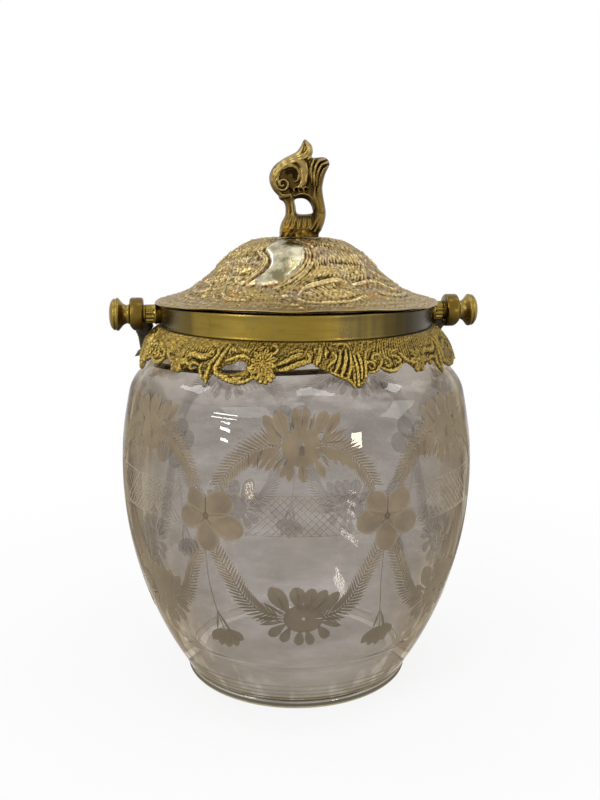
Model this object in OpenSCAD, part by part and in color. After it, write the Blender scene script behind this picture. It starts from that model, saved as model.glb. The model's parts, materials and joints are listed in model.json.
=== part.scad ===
// Biscuit jar: a cut glass barrel with a plastered brass mount, a swinging bail and a lift-off lid.
// Millimetres, +Z up, origin at the centre of the base. X runs along the bail's pivots and -Y is the front.

/* [Glass barrel] */
// Widest outer radius of the glass
belly_r = 75.6; // [72:0.2:80]
// Height of the widest point above the base
belly_z = 92; // [86:1:98]
// Radius of the barrel's curve, seen from the side
belly_curve_r = 162; // [150:1:185]
// Thickness of the glass wall
glass_wall = 4; // [3:0.1:5]
// Height of the glass floor inside, above the base
floor_thk = 10; // [7:0.5:13]
// Radius of the curve between floor and wall inside
floor_fillet = 14; // [8:0.5:18]
// Outer radius of the foot
foot_r = 49.3; // [46:0.1:50]
// Height of the foot
foot_h = 4; // [3:0.1:6]
// Radius of the hollow under the foot
punt_r = 41; // [34:0.5:43]
// Depth of the hollow under the foot
punt_h = 1.6; // [0.8:0.1:3]
// Outer radius of the neck
neck_r = 53.5; // [52:0.1:55]
// Height of the glass rim above the base
neck_top = 161.3; // [156:0.1:166]
// Height of the widening shoulder below the mount
shoulder_h = 25.7; // [22:0.1:30]

/* [Collar and plaster] */
// Thickness of the plaster round the neck
plaster_thk = 2.7; // [2:0.1:3.5]
// Depth of the plaster over the glass rim
plaster_cap = 0.4; // [0.2:0.1:1]
// Thickness of the collar's wall
collar_wall = 1.3; // [1:0.1:1.8]
// Height of the collar's plain band
collar_h = 8.4; // [8.2:0.1:12]
// Thickness of the lip that turns in over the rim
lip_thk = 1.1; // [0.8:0.1:1.6]
// How far the lip's edge stays back from the mouth
lip_back = 0.6; // [0.3:0.1:1.5]
// Height of the spigot that the skirt is soldered round
spigot_h = 2.2; // [1.6:0.1:3]
// Step from the collar's face in to the spigot
spigot_step = 0.6; // [0.4:0.05:0.8]
// Solder gap between the pieces of the mount
solder_gap = 0.05; // [0.02:0.01:0.1]

/* [Skirt] */
// Bearing of the first seam, from the front towards the right
seam_bearing = 12.9; // [0:0.1:20]
// Depth of the skirt at its seams
skirt_h = 16.5; // [14:0.1:18]
// How far the skirt's top edge stands out from the collar
skirt_lap = 0.8; // [0.4:0.1:1.4]
// Thickness of the skirt's metal
skirt_wall = 1.4; // [1:0.1:2]
// Clear space between the skirt and the glass near the hem
skirt_gap = 2.7; // [1.5:0.1:4]
// Drop over which the skirt bends from flaring to hanging
skirt_bend = 8.6; // [7:0.1:11]
// Radius of the large daisy on each casting
daisy_r = 5.4; // [4:0.1:6]
// Radius of the small flower on each casting
posy_r = 4.6; // [3:0.1:5]
// How far the flowers stand out of the skirt
flower_rise = 0.6; // [0.4:0.05:0.7]

/* [Pivots] */
// Drop from the collar's top to the pivot's axis
pivot_drop = 4.1; // [4.05:0.05:4.4]
// Radius of the fluted boss
boss_r = 4; // [3.6:0.1:4]
// Length of the boss's plain root
boss_root = 2.4; // [1.5:0.1:3]
// Number of flutes round the boss
flute_count = 12; // [8:1:16]
// Radius of one flute
flute_r = 0.55; // [0.3:0.05:0.8]
// Radius of the knob's shank
shank_r = 2.5; // [2:0.1:2.8]
// Metal left in the boss behind the end of the shank
boss_floor = 2.1; // [1.5:0.1:3]
// Play round the shank in the bail's eye
pivot_play = 0.05; // [0.02:0.01:0.09]
// Play of the bail along its pivots, on each face
end_play = 0.1; // [0.05:0.05:0.3]
// Thickness of the washer
washer_thk = 0.5; // [0.3:0.1:1]
// Outer radius of the washer
washer_r = 3.9; // [3.4:0.1:5]
// Length of the knob
knob_len = 8.6; // [7:0.1:11]
// Radius of the knob's neck
knob_neck_r = 4; // [3.5:0.1:4.6]
// Widest radius of the knob
knob_r = 6.9; // [6:0.1:8]

/* [Bail] */
// Angle at which the bail lies folded, below level
fold_angle = 28; // [26:0.5:32]
// Radius of the bail's eye
eye_r = 6.95; // [6:0.05:8]
// Width of the bail's eye along the pivot
eye_w = 5.7; // [4.5:0.1:7]
// Bevel on the edges of the eye
eye_bevel = 0.6; // [0.2:0.1:1]
// Width of the bail's band at the arms
arm_w = 4.2; // [3.6:0.1:4.6]
// Width of the bail's band at the top of the arch
arch_w = 3.2; // [2.6:0.1:3.4]
// Thickness of the bail's band
bail_thk = 3; // [2.4:0.1:3.2]
// Length of the straight arms, from the pivot
arm_len = 50; // [44:1:56]
// Space between the folded bail and the glass
bail_gap = 0.5; // [0.3:0.1:1.5]
// How far the leaf under each eye spreads inwards
leaf_spread = 1.4; // [0.8:0.1:2.4]
// Space between those leaves and the flowers on the skirt
leaf_clear = 0.95; // [0.5:0.05:2]
// Length of the leaf, from the pivot
leaf_len = 28; // [24:1:32]

/* [Lid] */
// Space between the lid and the collar
lid_gap = 0.3; // [0.2:0.05:0.5]
// How far the lid's rim overhangs the collar
lid_overhang = 2.3; // [1.5:0.1:2.8]
// Height of the lid from rim to crown
lid_rise = 27.3; // [24:0.1:32]
// Thickness of the lid's metal
lid_wall = 1.1; // [0.9:0.1:1.5]
// Radius at which the dome is half as high as the crown
dome_half_r = 35.6; // [33:0.1:38]
// Height of the brim's edge
brim_edge_h = 1; // [0.8:0.05:1.5]
// How far the brim rounds over towards its edge
brim_dip = 0.9; // [0.6:0.05:1.5]
// Depth that the seat ring reaches into the mouth
seat_depth = 6; // [4:0.1:8]
// Thickness of the seat ring
seat_wall = 1; // [0.8:0.1:1.4]
// Space between the seat ring and the glass mouth
seat_play = 0.5; // [0.3:0.1:1]
// Width of the brim's solid edge, where the seat ring's flange ends
brim_edge_w = 2.6; // [2:0.1:3.5]

/* [Finial and its fixing] */
// Height of the finial
finial_h = 39.9; // [34:0.1:46]
// Turn of the lid and finial away from the pivots' line
lid_turn = -6.4; // [-15:0.1:15]
// Radius of the stud
stud_r = 2; // [1.5:0.1:2.5]
// Depth of the stud in the finial
stud_grip = 6; // [4:0.1:7]
// Clearance round the stud
stud_play = 0.1; // [0.05:0.05:0.3]
// Outer radius of the finial's washer
fix_washer_r = 6; // [5:0.1:8]
// Thickness of the finial's washer
fix_washer_thk = 0.8; // [0.5:0.1:1.5]
// Distance across the nut's corners, halved
nut_r = 4; // [3.5:0.1:5]
// Height of the nut
nut_h = 3; // [2:0.1:4]
// Length of stud that shows under the nut
stud_tail = 1.5; // [0.5:0.1:3]

/* [Hidden] */
$fn = 96;

// Colours of the materials
glass_tint = [0.72, 0.70, 0.66, 0.35];
plaster_white = [0.86, 0.84, 0.78];
collar_brass = [0.55, 0.46, 0.22];
skirt_brass = [0.52, 0.44, 0.22];
pivot_brass = [0.60, 0.49, 0.22];
lid_gilt = [0.64, 0.54, 0.32];
plain_brass = [0.66, 0.55, 0.30];

// Heights and radii that follow from the sizes above
collar_r = neck_r + plaster_thk + collar_wall;
collar_top = neck_top + plaster_cap + lip_thk;
collar_base = collar_top - collar_h;
mount_base = collar_base - spigot_h;
neck_base = mount_base - 0.5;
shoulder_z = neck_base - shoulder_h;
mouth_r = neck_r - glass_wall;
rim_chamfer = 0.5;
lip_r = mouth_r + lip_back;
spigot_r = collar_r - spigot_step;
pivot_z = collar_top - pivot_drop;
lid_base = collar_top + lid_gap;
lid_r = collar_r + lid_overhang;
lid_top = lid_base + lid_rise;
crown_r = 9;
brim_edge_r = lid_r - brim_edge_w;
fix_top = lid_top - lid_wall;

// Overrun of a cutting shape past the face it cuts
over = 1;

// Points along a smooth curve through the points p, n to each stretch
function curve_at(a, b, c, d, t) = 0.5 * (2 * b + (c - a) * t + (2 * a - 5 * b + 4 * c - d) * t * t
                                          + (3 * b - a - 3 * c + d) * t * t * t);
function smooth(p, n = 5) = concat(
    [for (i = [0 : len(p) - 2], k = [0 : n - 1])
        curve_at(p[max(i - 1, 0)], p[i], p[i + 1], p[min(i + 2, len(p) - 1)], k / n)],
    [p[len(p) - 1]]);

// Radius of the barrel's curve at height z, taken the depth `inset` below its outer face
function belly_arc(z, inset = 0) =
    belly_r - belly_curve_r + sqrt(pow(belly_curve_r - inset, 2) - pow(z - belly_z, 2));
// 1 on the belly, falling to 0 at the neck
function shoulder_share(z) = z <= shoulder_z ? 1 : z >= neck_base ? 0
    : (1 + cos(180 * pow((z - shoulder_z) / shoulder_h, 1.25))) / 2;
function glass_out(z) = neck_r + (belly_arc(z) - neck_r) * shoulder_share(z);
function glass_in(z) = mouth_r + (belly_arc(z, glass_wall) - mouth_r) * shoulder_share(z);
// Height of the lid's outer face at radius r: a bell-shaped dome on a brim that rounds over at its edge
dome_power = 5;
dip_power = 8;
function bell(r) = 1 / (1 + pow(r / dome_half_r, dome_power));
function lid_z(r) = lid_base + brim_edge_h
    + (lid_rise - brim_edge_h - brim_dip) * (bell(r) - bell(lid_r)) / (1 - bell(lid_r))
    + brim_dip * (1 - pow(r / lid_r, dip_power));
// Upright thickness of a wall of even thickness under that face
function lid_drop(r) =
    let (e = 0.1, slope = (lid_z(r + e) - lid_z(r - e)) / (2 * e)) lid_wall * sqrt(1 + slope * slope);

module glass_barrel() {
    foot_edge = 1.5;
    groove = 0.7;
    belly_start = foot_h + groove;
    outer = concat(
        [[0, punt_h], [punt_r, punt_h], [punt_r + punt_h, 0]],
        [for (a = [0 : 30 : 90]) [foot_r - foot_edge * (1 - sin(a)), foot_edge * (1 - cos(a))]],
        [[foot_r, foot_h - groove], [foot_r - groove, foot_h]],
        [for (i = [0 : 18]) let (z = belly_start + (shoulder_z - belly_start) * i / 18) [glass_out(z), z]],
        [for (i = [1 : 12]) let (z = shoulder_z + shoulder_h * i / 12) [glass_out(z), z]],
        [[neck_r, neck_top - rim_chamfer], [neck_r - rim_chamfer, neck_top]]);
    inner_start = floor_thk + floor_fillet;
    inner = concat(
        [[mouth_r + rim_chamfer, neck_top], [mouth_r, neck_top - rim_chamfer]],
        [for (i = [12 : -1 : 1]) let (z = shoulder_z + shoulder_h * i / 12) [glass_in(z), z]],
        [for (i = [16 : -1 : 1])
            let (z = inner_start + (shoulder_z - inner_start) * i / 16) [glass_in(z), z]],
        [for (a = [90 : -15 : 0]) let (z = floor_thk + floor_fillet * (1 - cos(a)))
            [glass_in(z) - floor_fillet * (1 - sin(a)), z]],
        [[0, floor_thk]]);
    color(glass_tint) rotate_extrude() polygon(concat(outer, inner));
}

// Fills the space between neck and collar, and beds the glass rim under the lip
module neck_plaster() {
    outer_r = collar_r - collar_wall;
    lip_z = collar_top - lip_thk;
    bed_r = lip_r + 1;
    color(plaster_white) rotate_extrude() polygon([
        [neck_r, mount_base], [outer_r, mount_base], [outer_r, lip_z], [bed_r, lip_z],
        [bed_r, neck_top], [neck_r - rim_chamfer, neck_top], [neck_r, neck_top - rim_chamfer]]);
}

module collar_band() {
    inner_r = collar_r - collar_wall;
    edge = 0.4;
    color(collar_brass) rotate_extrude() polygon([
        [inner_r, mount_base], [spigot_r, mount_base], [spigot_r, collar_base], [collar_r, collar_base],
        [collar_r, collar_top - edge], [collar_r - edge, collar_top], [lip_r, collar_top],
        [lip_r, collar_top - lip_thk], [inner_r, collar_top - lip_thk]]);
}

// Skirt: a flaring apron in four like castings. Drops are measured down from its top edge.
skirt_flare = (glass_out(collar_base - skirt_h) + skirt_gap + skirt_wall - collar_r - skirt_lap)
              / (1 - exp(-skirt_h / skirt_bend));
skirt_seat_r = spigot_r + solder_gap;
// Hem of one casting: angle from its left seam, and drop as a part of the depth at the seams
hem = [[0, 1], [1, 1.04], [3.5, 0.91], [4.5, 0.7], [9.5, 0.61], [14, 0.74], [17.5, 0.63], [20.5, 0.56],
       [24, 0.73], [27.5, 0.84], [31, 0.7], [34, 0.64], [37, 0.7], [40.5, 0.93], [42.5, 0.7], [46, 0.75],
       [51, 0.91], [55, 0.82], [58.5, 0.75], [60.5, 0.82], [64, 0.64], [70, 0.57], [75.5, 0.44],
       [79, 0.58], [84, 0.7], [88.5, 0.8], [90, 1]];
column_count = 60;
row_count = 4;
// Places on one casting: angle from its left seam, and drop
daisy_angle = 59.8;
posy_angle = 27;
eyelet_angle = 50;
daisy_drop = 0.41 * skirt_h;
posy_drop = 0.58 * skirt_h;
eyelet_drop = 0.52 * skirt_h;
eyelet_r = 1.9;
eyelet_half = 2.6;
seam_gap = 0.05;

function skirt_r(d) = collar_r + skirt_lap + skirt_flare * (1 - exp(-d / skirt_bend));
// Angle by which the skirt's face looks up from level, at drop d
function skirt_tilt(d) = atan(skirt_flare / skirt_bend * exp(-d / skirt_bend));
function skirt_section(drop) = concat(
    [for (i = [0 : row_count]) let (d = drop * i / row_count) [skirt_r(d), collar_base - d]],
    [for (i = [row_count : -1 : 1]) let (d = drop * i / row_count, t = skirt_tilt(d))
        [skirt_r(d) - skirt_wall * cos(t), collar_base - d - skirt_wall * sin(t)]],
    [[skirt_seat_r, collar_base]]);

// Bearing of a casting's left seam as an angle from +X
function seam_angle(k) = seam_bearing - 90 + 90 * k;

module skirt_sheet(k) {
    section = 2 * row_count + 2;
    angles = [for (j = [0 : column_count]) min(max(90 * j / column_count, seam_gap), 90 - seam_gap)];
    points = [for (a = angles, p = skirt_section(skirt_h * lookup(a, hem)))
        [p[0] * cos(a + seam_angle(k)), p[0] * sin(a + seam_angle(k)), p[1]]];
    sides = [for (j = [0 : column_count - 1], i = [0 : section - 1]) let (n = (i + 1) % section)
        [j * section + i, (j + 1) * section + i, (j + 1) * section + n, j * section + n]];
    ends = [[for (i = [0 : section - 1]) i],
            [for (i = [section - 1 : -1 : 0]) column_count * section + i]];
    polyhedron(points, concat(sides, ends), convexity = 6);
}

// Stands a child on the skirt's face, its +Z along the face's normal
module on_skirt(k, angle, drop) {
    rotate([0, 0, seam_angle(k) + angle])
        translate([skirt_r(drop), 0, collar_base - drop])
            rotate([0, 90 - skirt_tilt(drop), 0])
                children();
}

module petals(r, count) {
    core = 0.7;
    linear_extrude(height = flower_rise + skirt_wall / 2)
        polygon([for (a = [0 : 180 / count / 2 : 359])
            let (q = r * (core + (1 - core) * abs(cos(a * count / 2)))) [q * cos(a), q * sin(a)]]);
}

module skirt_casting(k) {
    color(skirt_brass) {
        difference() {
            skirt_sheet(k);
            on_skirt(k, eyelet_angle, eyelet_drop) hull()
                for (s = [-1, 1]) translate([0, s * eyelet_half, -3 * skirt_wall])
                    cylinder(r = eyelet_r, h = 6 * skirt_wall, $fn = 24);
        }
        on_skirt(k, daisy_angle, daisy_drop) translate([0, 0, -skirt_wall / 2]) petals(daisy_r, 12);
        on_skirt(k, posy_angle, posy_drop) translate([0, 0, -skirt_wall / 2]) petals(posy_r, 5);
    }
}
module skirt_front_right() { skirt_casting(0); }
module skirt_back_right() { skirt_casting(1); }
module skirt_back_left() { skirt_casting(2); }
module skirt_front_left() { skirt_casting(3); }

// Bail, boss and knob stand out far enough for the bail's leaves to pass the flowers nearest to the pivots
flower_reach = (skirt_r(daisy_drop) + flower_rise) * cos(90 - seam_bearing - daisy_angle);
eye_in = flower_reach + leaf_clear + leaf_spread;
eye_out = eye_in + eye_w;
boss_end = eye_in - end_play - washer_thk;
boss_len = boss_end - collar_r;
// Depth that the shank screws into the boss
shank_grip = boss_len - boss_floor;
knob_in = eye_out + end_play;

// Places a child on the pivot's axis with its +Z pointing out, on the right (1) or left (-1) side
module on_pivot(side) {
    mirror([side < 0 ? 1 : 0, 0, 0]) translate([0, 0, pivot_z]) rotate([0, 90, 0]) children();
}

// Fluted boss with a blind hole for the knob's shank, its root saddled to the collar
module boss(side) {
    saddle = 2;
    flute_axis_r = boss_r + 0.15;
    color(pivot_brass) difference() {
        on_pivot(side) difference() {
            translate([0, 0, collar_r - saddle]) cylinder(r = boss_r, h = boss_len + saddle);
            translate([0, 0, boss_end - shank_grip])
                cylinder(r = shank_r + pivot_play, h = shank_grip + over);
            for (i = [0 : flute_count - 1]) rotate([0, 0, (i + 0.5) * 360 / flute_count])
                translate([flute_axis_r, 0, collar_r + boss_root]) cylinder(r = flute_r, h = boss_len);
        }
        cylinder(r = collar_r + solder_gap, h = collar_top + boss_r);
    }
}
module boss_left() { boss(-1); }
module boss_right() { boss(1); }

module washer(side) {
    color(pivot_brass) on_pivot(side) translate([0, 0, boss_end]) difference() {
        cylinder(r = washer_r, h = washer_thk);
        translate([0, 0, -over]) cylinder(r = shank_r + pivot_play, h = washer_thk + 2 * over);
    }
}
module washer_left() { washer(-1); }
module washer_right() { washer(1); }

// Turned knob: neck, flare, groove and domed end, with its shank through the bail's eye
module knob(side) {
    flare_z = 0.56 * knob_len;
    groove_z = 0.70 * knob_len;
    flare = smooth([[knob_neck_r, 0], [knob_neck_r, 0.14 * knob_len], [knob_neck_r + 0.8, 0.33 * knob_len],
                    [knob_r - 0.15, flare_z - 0.4], [knob_r, flare_z]], 4);
    dome = smooth([[knob_r - 0.35, groove_z + 0.25], [knob_r - 0.7, 0.80 * knob_len],
                   [knob_r - 2.4, 0.93 * knob_len], [knob_r - 5, 0.99 * knob_len], [0, knob_len]], 3);
    shank_in = knob_in - boss_end + shank_grip;
    color(pivot_brass) on_pivot(side) translate([0, 0, knob_in]) {
        rotate_extrude() polygon(concat([[0, 0]], flare,
            [[knob_r, groove_z - 0.35], [knob_r - 0.6, groove_z - 0.1], [knob_r - 0.6, groove_z + 0.1]],
            dome));
        translate([0, 0, -shank_in]) cylinder(r = shank_r, h = shank_in + over);
    }
}
module knob_left() { knob(-1); }
module knob_right() { knob(1); }

// Bail, drawn flat with the pivot's axis along X and the arch in +Y, then folded back
arm_mid = eye_in + 1.8;
back_z = pivot_z - belly_r / cos(fold_angle) * sin(fold_angle);
arch_in = (glass_out(back_z) + bail_gap + bail_thk / 2 * sin(fold_angle)) / cos(fold_angle) + 0.3;
arch_out = arch_in + arch_w;
arm_root = 4;
arch_power = 2.1;

function arch(x_end, y_end, a) = [x_end * pow(abs(cos(a)), 2 / arch_power) * sign(cos(a)),
                                  arm_len + (y_end - arm_len) * pow(sin(a), 2 / arch_power)];
function leaf_edge() = smooth([
    [eye_in, arm_root], [eye_in - leaf_spread, 0.55 * leaf_len],
    [eye_in - 0.35 * leaf_spread, 0.85 * leaf_len], [arm_mid - arm_w / 2, leaf_len]], 4);
function swell_edge() = smooth([
    [eye_out - 0.4, arm_root], [eye_out - 0.6, 0.4 * leaf_len], [arm_mid + arm_w / 2, leaf_len]], 4);
function flipped(p) = [for (i = [len(p) - 1 : -1 : 0]) [-p[i][0], p[i][1]]];

module bail_handle() {
    outer = concat(swell_edge(), [for (a = [0 : 7.5 : 180]) arch(arm_mid + arm_w / 2, arch_out, a)],
                   flipped(swell_edge()));
    inner = concat(leaf_edge(), [for (a = [0 : 7.5 : 180]) arch(arm_mid - arm_w / 2, arch_in, a)],
                   flipped(leaf_edge()));
    back = [for (i = [len(inner) - 1 : -1 : 0]) inner[i]];
    color(pivot_brass) difference() {
        union() {
            translate([0, 0, pivot_z]) rotate([-fold_angle, 0, 0])
                linear_extrude(height = bail_thk, center = true) polygon(concat(outer, back));
            for (side = [-1, 1]) on_pivot(side) translate([0, 0, eye_in]) {
                cylinder(r1 = eye_r - eye_bevel, r2 = eye_r, h = eye_bevel);
                translate([0, 0, eye_bevel]) cylinder(r = eye_r, h = eye_w - 2 * eye_bevel);
                translate([0, 0, eye_w - eye_bevel])
                    cylinder(r1 = eye_r, r2 = eye_r - eye_bevel, h = eye_bevel);
            }
        }
        for (side = [-1, 1]) on_pivot(side)
            translate([0, 0, eye_in - over]) cylinder(r = shank_r + pivot_play, h = eye_w + 2 * over);
    }
}

module lid_shell() {
    steps = 24;
    edge = 0.5;
    edge_h = 0.3;
    reach = lid_r - edge;
    top = [for (i = [1 : steps]) let (r = crown_r + (reach - crown_r) * i / steps) [r, lid_z(r)]];
    under = [for (i = [steps : -1 : 1]) let (r = crown_r + (brim_edge_r - crown_r) * i / steps)
        [r, lid_z(r) - lid_drop(r)]];
    color(lid_gilt) difference() {
        rotate_extrude() polygon(concat(
            [[0, lid_top], [crown_r, lid_top]], top,
            [[lid_r, lid_base + edge_h], [lid_r - edge_h, lid_base], [brim_edge_r, lid_base]],
            under, [[crown_r, fix_top], [0, fix_top]]));
        translate([0, 0, fix_top - over]) cylinder(r = stud_r + stud_play, h = lid_wall + 2 * over);
    }
}

// Ring that drops into the mouth, on a flange soldered inside the brim's edge
module lid_seat_ring() {
    ring_r = mouth_r - seat_play;
    flange_r = brim_edge_r - solder_gap;
    flange_top = lid_z(brim_edge_r) - lid_drop(brim_edge_r) - solder_gap;
    color(plain_brass) rotate_extrude() polygon([
        [ring_r - seat_wall, lid_base - seat_depth], [ring_r, lid_base - seat_depth], [ring_r, lid_base],
        [flange_r, lid_base], [flange_r, flange_top], [ring_r - seat_wall, flange_top]]);
}

// Finial, drawn in its own upright plane with x across and z above the crown
module chain(points) {
    for (i = [0 : len(points) - 2]) hull() for (p = [points[i], points[i + 1]])
        translate([p[0], 0, p[1]]) sphere(r = p[2], $fn = 20);
}
module finial_shape() {
    unit = finial_h / 39.9;
    volute_x = -5.6;
    volute_z = 21.4;
    scale(unit) {
        hull() {
            translate([0.8, 0, 0]) scale([1, 0.75, 1]) cylinder(r = 8, h = 0.5, $fn = 32);
            translate([0.3, 0, 3.6]) scale([1, 0.72, 1]) cylinder(r = 7.4, h = 0.5, $fn = 32);
            translate([0.6, 0, 9.2]) scale([1, 0.68, 1]) cylinder(r = 5.6, h = 0.5, $fn = 32);
        }
        chain([[-2.5, 8.2, 2.1], [-2.5, 13.2, 2.1], [-3.7, 16.2, 2.9], [-6, 16.6, 1.7]]);
        chain([[-0.6, 17.8, 2.2], [3.4, 18.3, 2.2], [6.4, 16.6, 2.0], [8.6, 13, 2.0], [9, 8.5, 2.4],
               [6.6, 3.6, 2.6]]);
        chain([[9.8, 9.6, 2.4], [9.1, 14.6, 2.2], [8.1, 20, 2.6], [8.6, 25.2, 3.4], [10.4, 29.0, 3.2]]);
        chain([for (a = [225 : -30 : 75]) [volute_x + 4 * cos(a), volute_z + 2.2 + 5.6 * sin(a), 1.9]]);
        chain([for (a = [270 : -60 : -90]) [volute_x + 2.2 * cos(a), volute_z + 2.2 * sin(a), 1.5]]);
        chain([[-5.6, 28.4, 2.0], [-1.2, 30.6, 2.5], [2.6, 32.8, 2.7], [4.6, 35.6, 2.0], [4.0, 38.6, 1.3]]);
        chain([[0.8, 23.4, 3.6], [3.4, 27.2, 3.8], [4.6, 20.6, 2.8]]);
    }
}
module finial() {
    color(lid_gilt) translate([0, 0, lid_top]) rotate([0, 0, lid_turn]) difference() {
        finial_shape();
        translate([0, 0, -over]) cylinder(r = stud_r + stud_play, h = stud_grip + stud_play + over, $fn = 32);
    }
}

module finial_stud() {
    length = stud_grip + lid_wall + fix_washer_thk + nut_h + stud_tail;
    color(plain_brass) translate([0, 0, lid_top + stud_grip - length]) cylinder(r = stud_r, h = length);
}
module finial_washer() {
    color(plain_brass) translate([0, 0, fix_top - fix_washer_thk]) difference() {
        cylinder(r = fix_washer_r, h = fix_washer_thk);
        translate([0, 0, -over]) cylinder(r = stud_r + stud_play, h = fix_washer_thk + 2 * over);
    }
}
module finial_nut() {
    color(plain_brass) translate([0, 0, fix_top - fix_washer_thk - nut_h]) difference() {
        cylinder(r = nut_r, h = nut_h, $fn = 6);
        translate([0, 0, -over]) cylinder(r = stud_r + stud_play, h = nut_h + 2 * over);
    }
}

glass_barrel();
neck_plaster();
collar_band();
skirt_front_right();
skirt_back_right();
skirt_back_left();
skirt_front_left();
boss_left();
boss_right();
washer_left();
washer_right();
knob_left();
knob_right();
bail_handle();
lid_shell();
lid_seat_ring();
finial();
finial_stud();
finial_washer();
finial_nut();
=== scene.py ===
"""Biscuit jar: engraved glass barrel, gilt brass mount with a cast skirt, swinging bail, and a stamped lid.

Lengths are in millimetres and angles in degrees until a mesh is made. A bearing is measured from the
front (-Y) towards the right (+X), and a height from the base.
"""
import json
import math

import bmesh
import bpy
import numpy as np
from mathutils import Matrix, Vector


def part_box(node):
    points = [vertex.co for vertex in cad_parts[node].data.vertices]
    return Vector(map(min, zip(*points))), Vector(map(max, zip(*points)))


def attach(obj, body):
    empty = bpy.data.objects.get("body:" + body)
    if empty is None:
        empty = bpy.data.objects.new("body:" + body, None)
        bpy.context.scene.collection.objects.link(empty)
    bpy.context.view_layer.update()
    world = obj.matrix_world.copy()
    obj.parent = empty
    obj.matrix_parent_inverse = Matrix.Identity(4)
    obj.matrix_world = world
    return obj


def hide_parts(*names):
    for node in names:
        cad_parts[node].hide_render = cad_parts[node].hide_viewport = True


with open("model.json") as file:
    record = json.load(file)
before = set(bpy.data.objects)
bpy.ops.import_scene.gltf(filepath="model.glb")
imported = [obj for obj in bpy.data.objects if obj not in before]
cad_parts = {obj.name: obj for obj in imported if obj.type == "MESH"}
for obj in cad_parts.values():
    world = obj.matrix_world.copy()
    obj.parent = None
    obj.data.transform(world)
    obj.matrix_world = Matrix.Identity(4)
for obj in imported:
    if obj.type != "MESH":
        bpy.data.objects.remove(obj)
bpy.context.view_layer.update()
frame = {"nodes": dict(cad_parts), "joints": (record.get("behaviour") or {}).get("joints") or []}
MM = 0.001


# ---------------------------------------------------------------- sizes
def box_mm(node):
    """Low and high corner of a solid's box."""
    low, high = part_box(node)
    return low / MM, high / MM


glass_high = box_mm("glass_barrel")[1]
collar_low, collar_high = box_mm("collar_band")
lid_low, lid_high = box_mm("lid_shell")
washer_low, washer_high = box_mm("washer_right")
knob_high = box_mm("knob_right")[1]
bail_high = box_mm("bail_handle")[1]

BELLY_R = glass_high.x
NECK_TOP = glass_high.z
COLLAR_R = collar_high.x
COLLAR_TOP = collar_high.z
MOUNT_BASE = collar_low.z
SKIRT_TOP = MOUNT_BASE + 2.2
LID_R = lid_high.x
LID_BASE = lid_low.z
LID_TOP = lid_high.z
PIVOT_Z = next(j["pos_m"][2] for j in frame["joints"] if j["name"] == "bail_swing") / MM
EYE_IN = washer_high.x + 0.1
EYE_OUT = EYE_IN + 5.7
KNOB_IN = EYE_OUT + 0.1
# The shank of a knob starts this far inside the washer's inner face
SHANK_DEPTH = 4.3
KNOB_LEN = knob_high.x - KNOB_IN

# Glass: its curve, its neck, the bowl inside and the foot below
BELLY_Z = 92.0
BELLY_CURVE_R = 162.0
GLASS_WALL = 4.0
NECK_R = 53.5
MOUTH_R = NECK_R - GLASS_WALL
NECK_BASE = MOUNT_BASE - 0.5
SHOULDER_Z = NECK_BASE - 25.7
FLOOR_Z = 10.0
BOWL_REACH = 26.0
BOWL_RISE = 18.0
FOOT_R = 49.3
PUNT_R = 44.0
PUNT_H = 1.6
FOOT_H = 4.0
# The frosted engraving lies on the glass, so the glass stays this far inside its solid
FROST_ROOM = 0.16

# Lid: the radius at which its dome is half as high, its brim, its wall, and how far its design is turned
DOME_HALF_R = 35.6
BRIM_EDGE_H = 1.0
BRIM_DIP = 0.9
LID_WALL = 1.1
LID_TURN = -6.4

# How far the top of the band and the lid's brim rise at the front
COLLAR_LIFT = 1.6
BRIM_LIFT = 2.5

# Skirt: the seam near the front, and how its face bends outwards
SEAM_BEARING = 12.9
SKIRT_BEND = 8.6
SKIRT_FLARE = 11.52
SKIRT_EDGE_R = COLLAR_R + 0.8
CASTING_WALL = 1.2
# Arc length of one degree of a skirt casting, near its hem
CASTING_DEGREE = 1.15

# Bail: how far below level it lies when folded back, its eyes, and the shanks inside them
FOLD_ANGLE = 28.0
EYE_R = 6.95
SHANK_R = 2.5


def belly_arc(z, inset=0.0):
    """Radius of the barrel's curve at a height, taken `inset` below its outer face."""
    return BELLY_R - BELLY_CURVE_R + np.sqrt((BELLY_CURVE_R - inset) ** 2 - (z - BELLY_Z) ** 2)


def shoulder_share(z):
    """1 on the belly, falling to 0 at the neck."""
    rise = np.clip((z - SHOULDER_Z) / (NECK_BASE - SHOULDER_Z), 0, 1)
    return (1 + np.cos(np.pi * rise**1.25)) / 2


def glass_out(z):
    """Radius of the barrel's outer face."""
    return NECK_R + (belly_arc(z) - NECK_R) * shoulder_share(z)


def glass_in(z):
    """Radius of the barrel's bore."""
    return MOUTH_R + (belly_arc(z, GLASS_WALL) - MOUTH_R) * shoulder_share(z)


def bell(r):
    """1 at the middle of the dome, falling away towards its brim."""
    return 1 / (1 + (r / DOME_HALF_R) ** 5)


def lid_z(r):
    """Height of the lid's plain face: a bell-shaped dome on a brim that rounds over at its edge."""
    dome = (LID_TOP - LID_BASE - BRIM_EDGE_H - BRIM_DIP) * (bell(r) - bell(LID_R)) / (1 - bell(LID_R))
    return LID_BASE + BRIM_EDGE_H + dome + BRIM_DIP * (1 - (r / LID_R) ** 8)


def skirt_r(drop):
    """Radius of the skirt's face, a drop below its top."""
    return SKIRT_EDGE_R + SKIRT_FLARE * (1 - np.exp(-drop / SKIRT_BEND))


def skirt_tilt(drop):
    """Angle in radians by which the skirt's face looks up from level."""
    return np.arctan(SKIRT_FLARE / SKIRT_BEND * np.exp(-drop / SKIRT_BEND))


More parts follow.
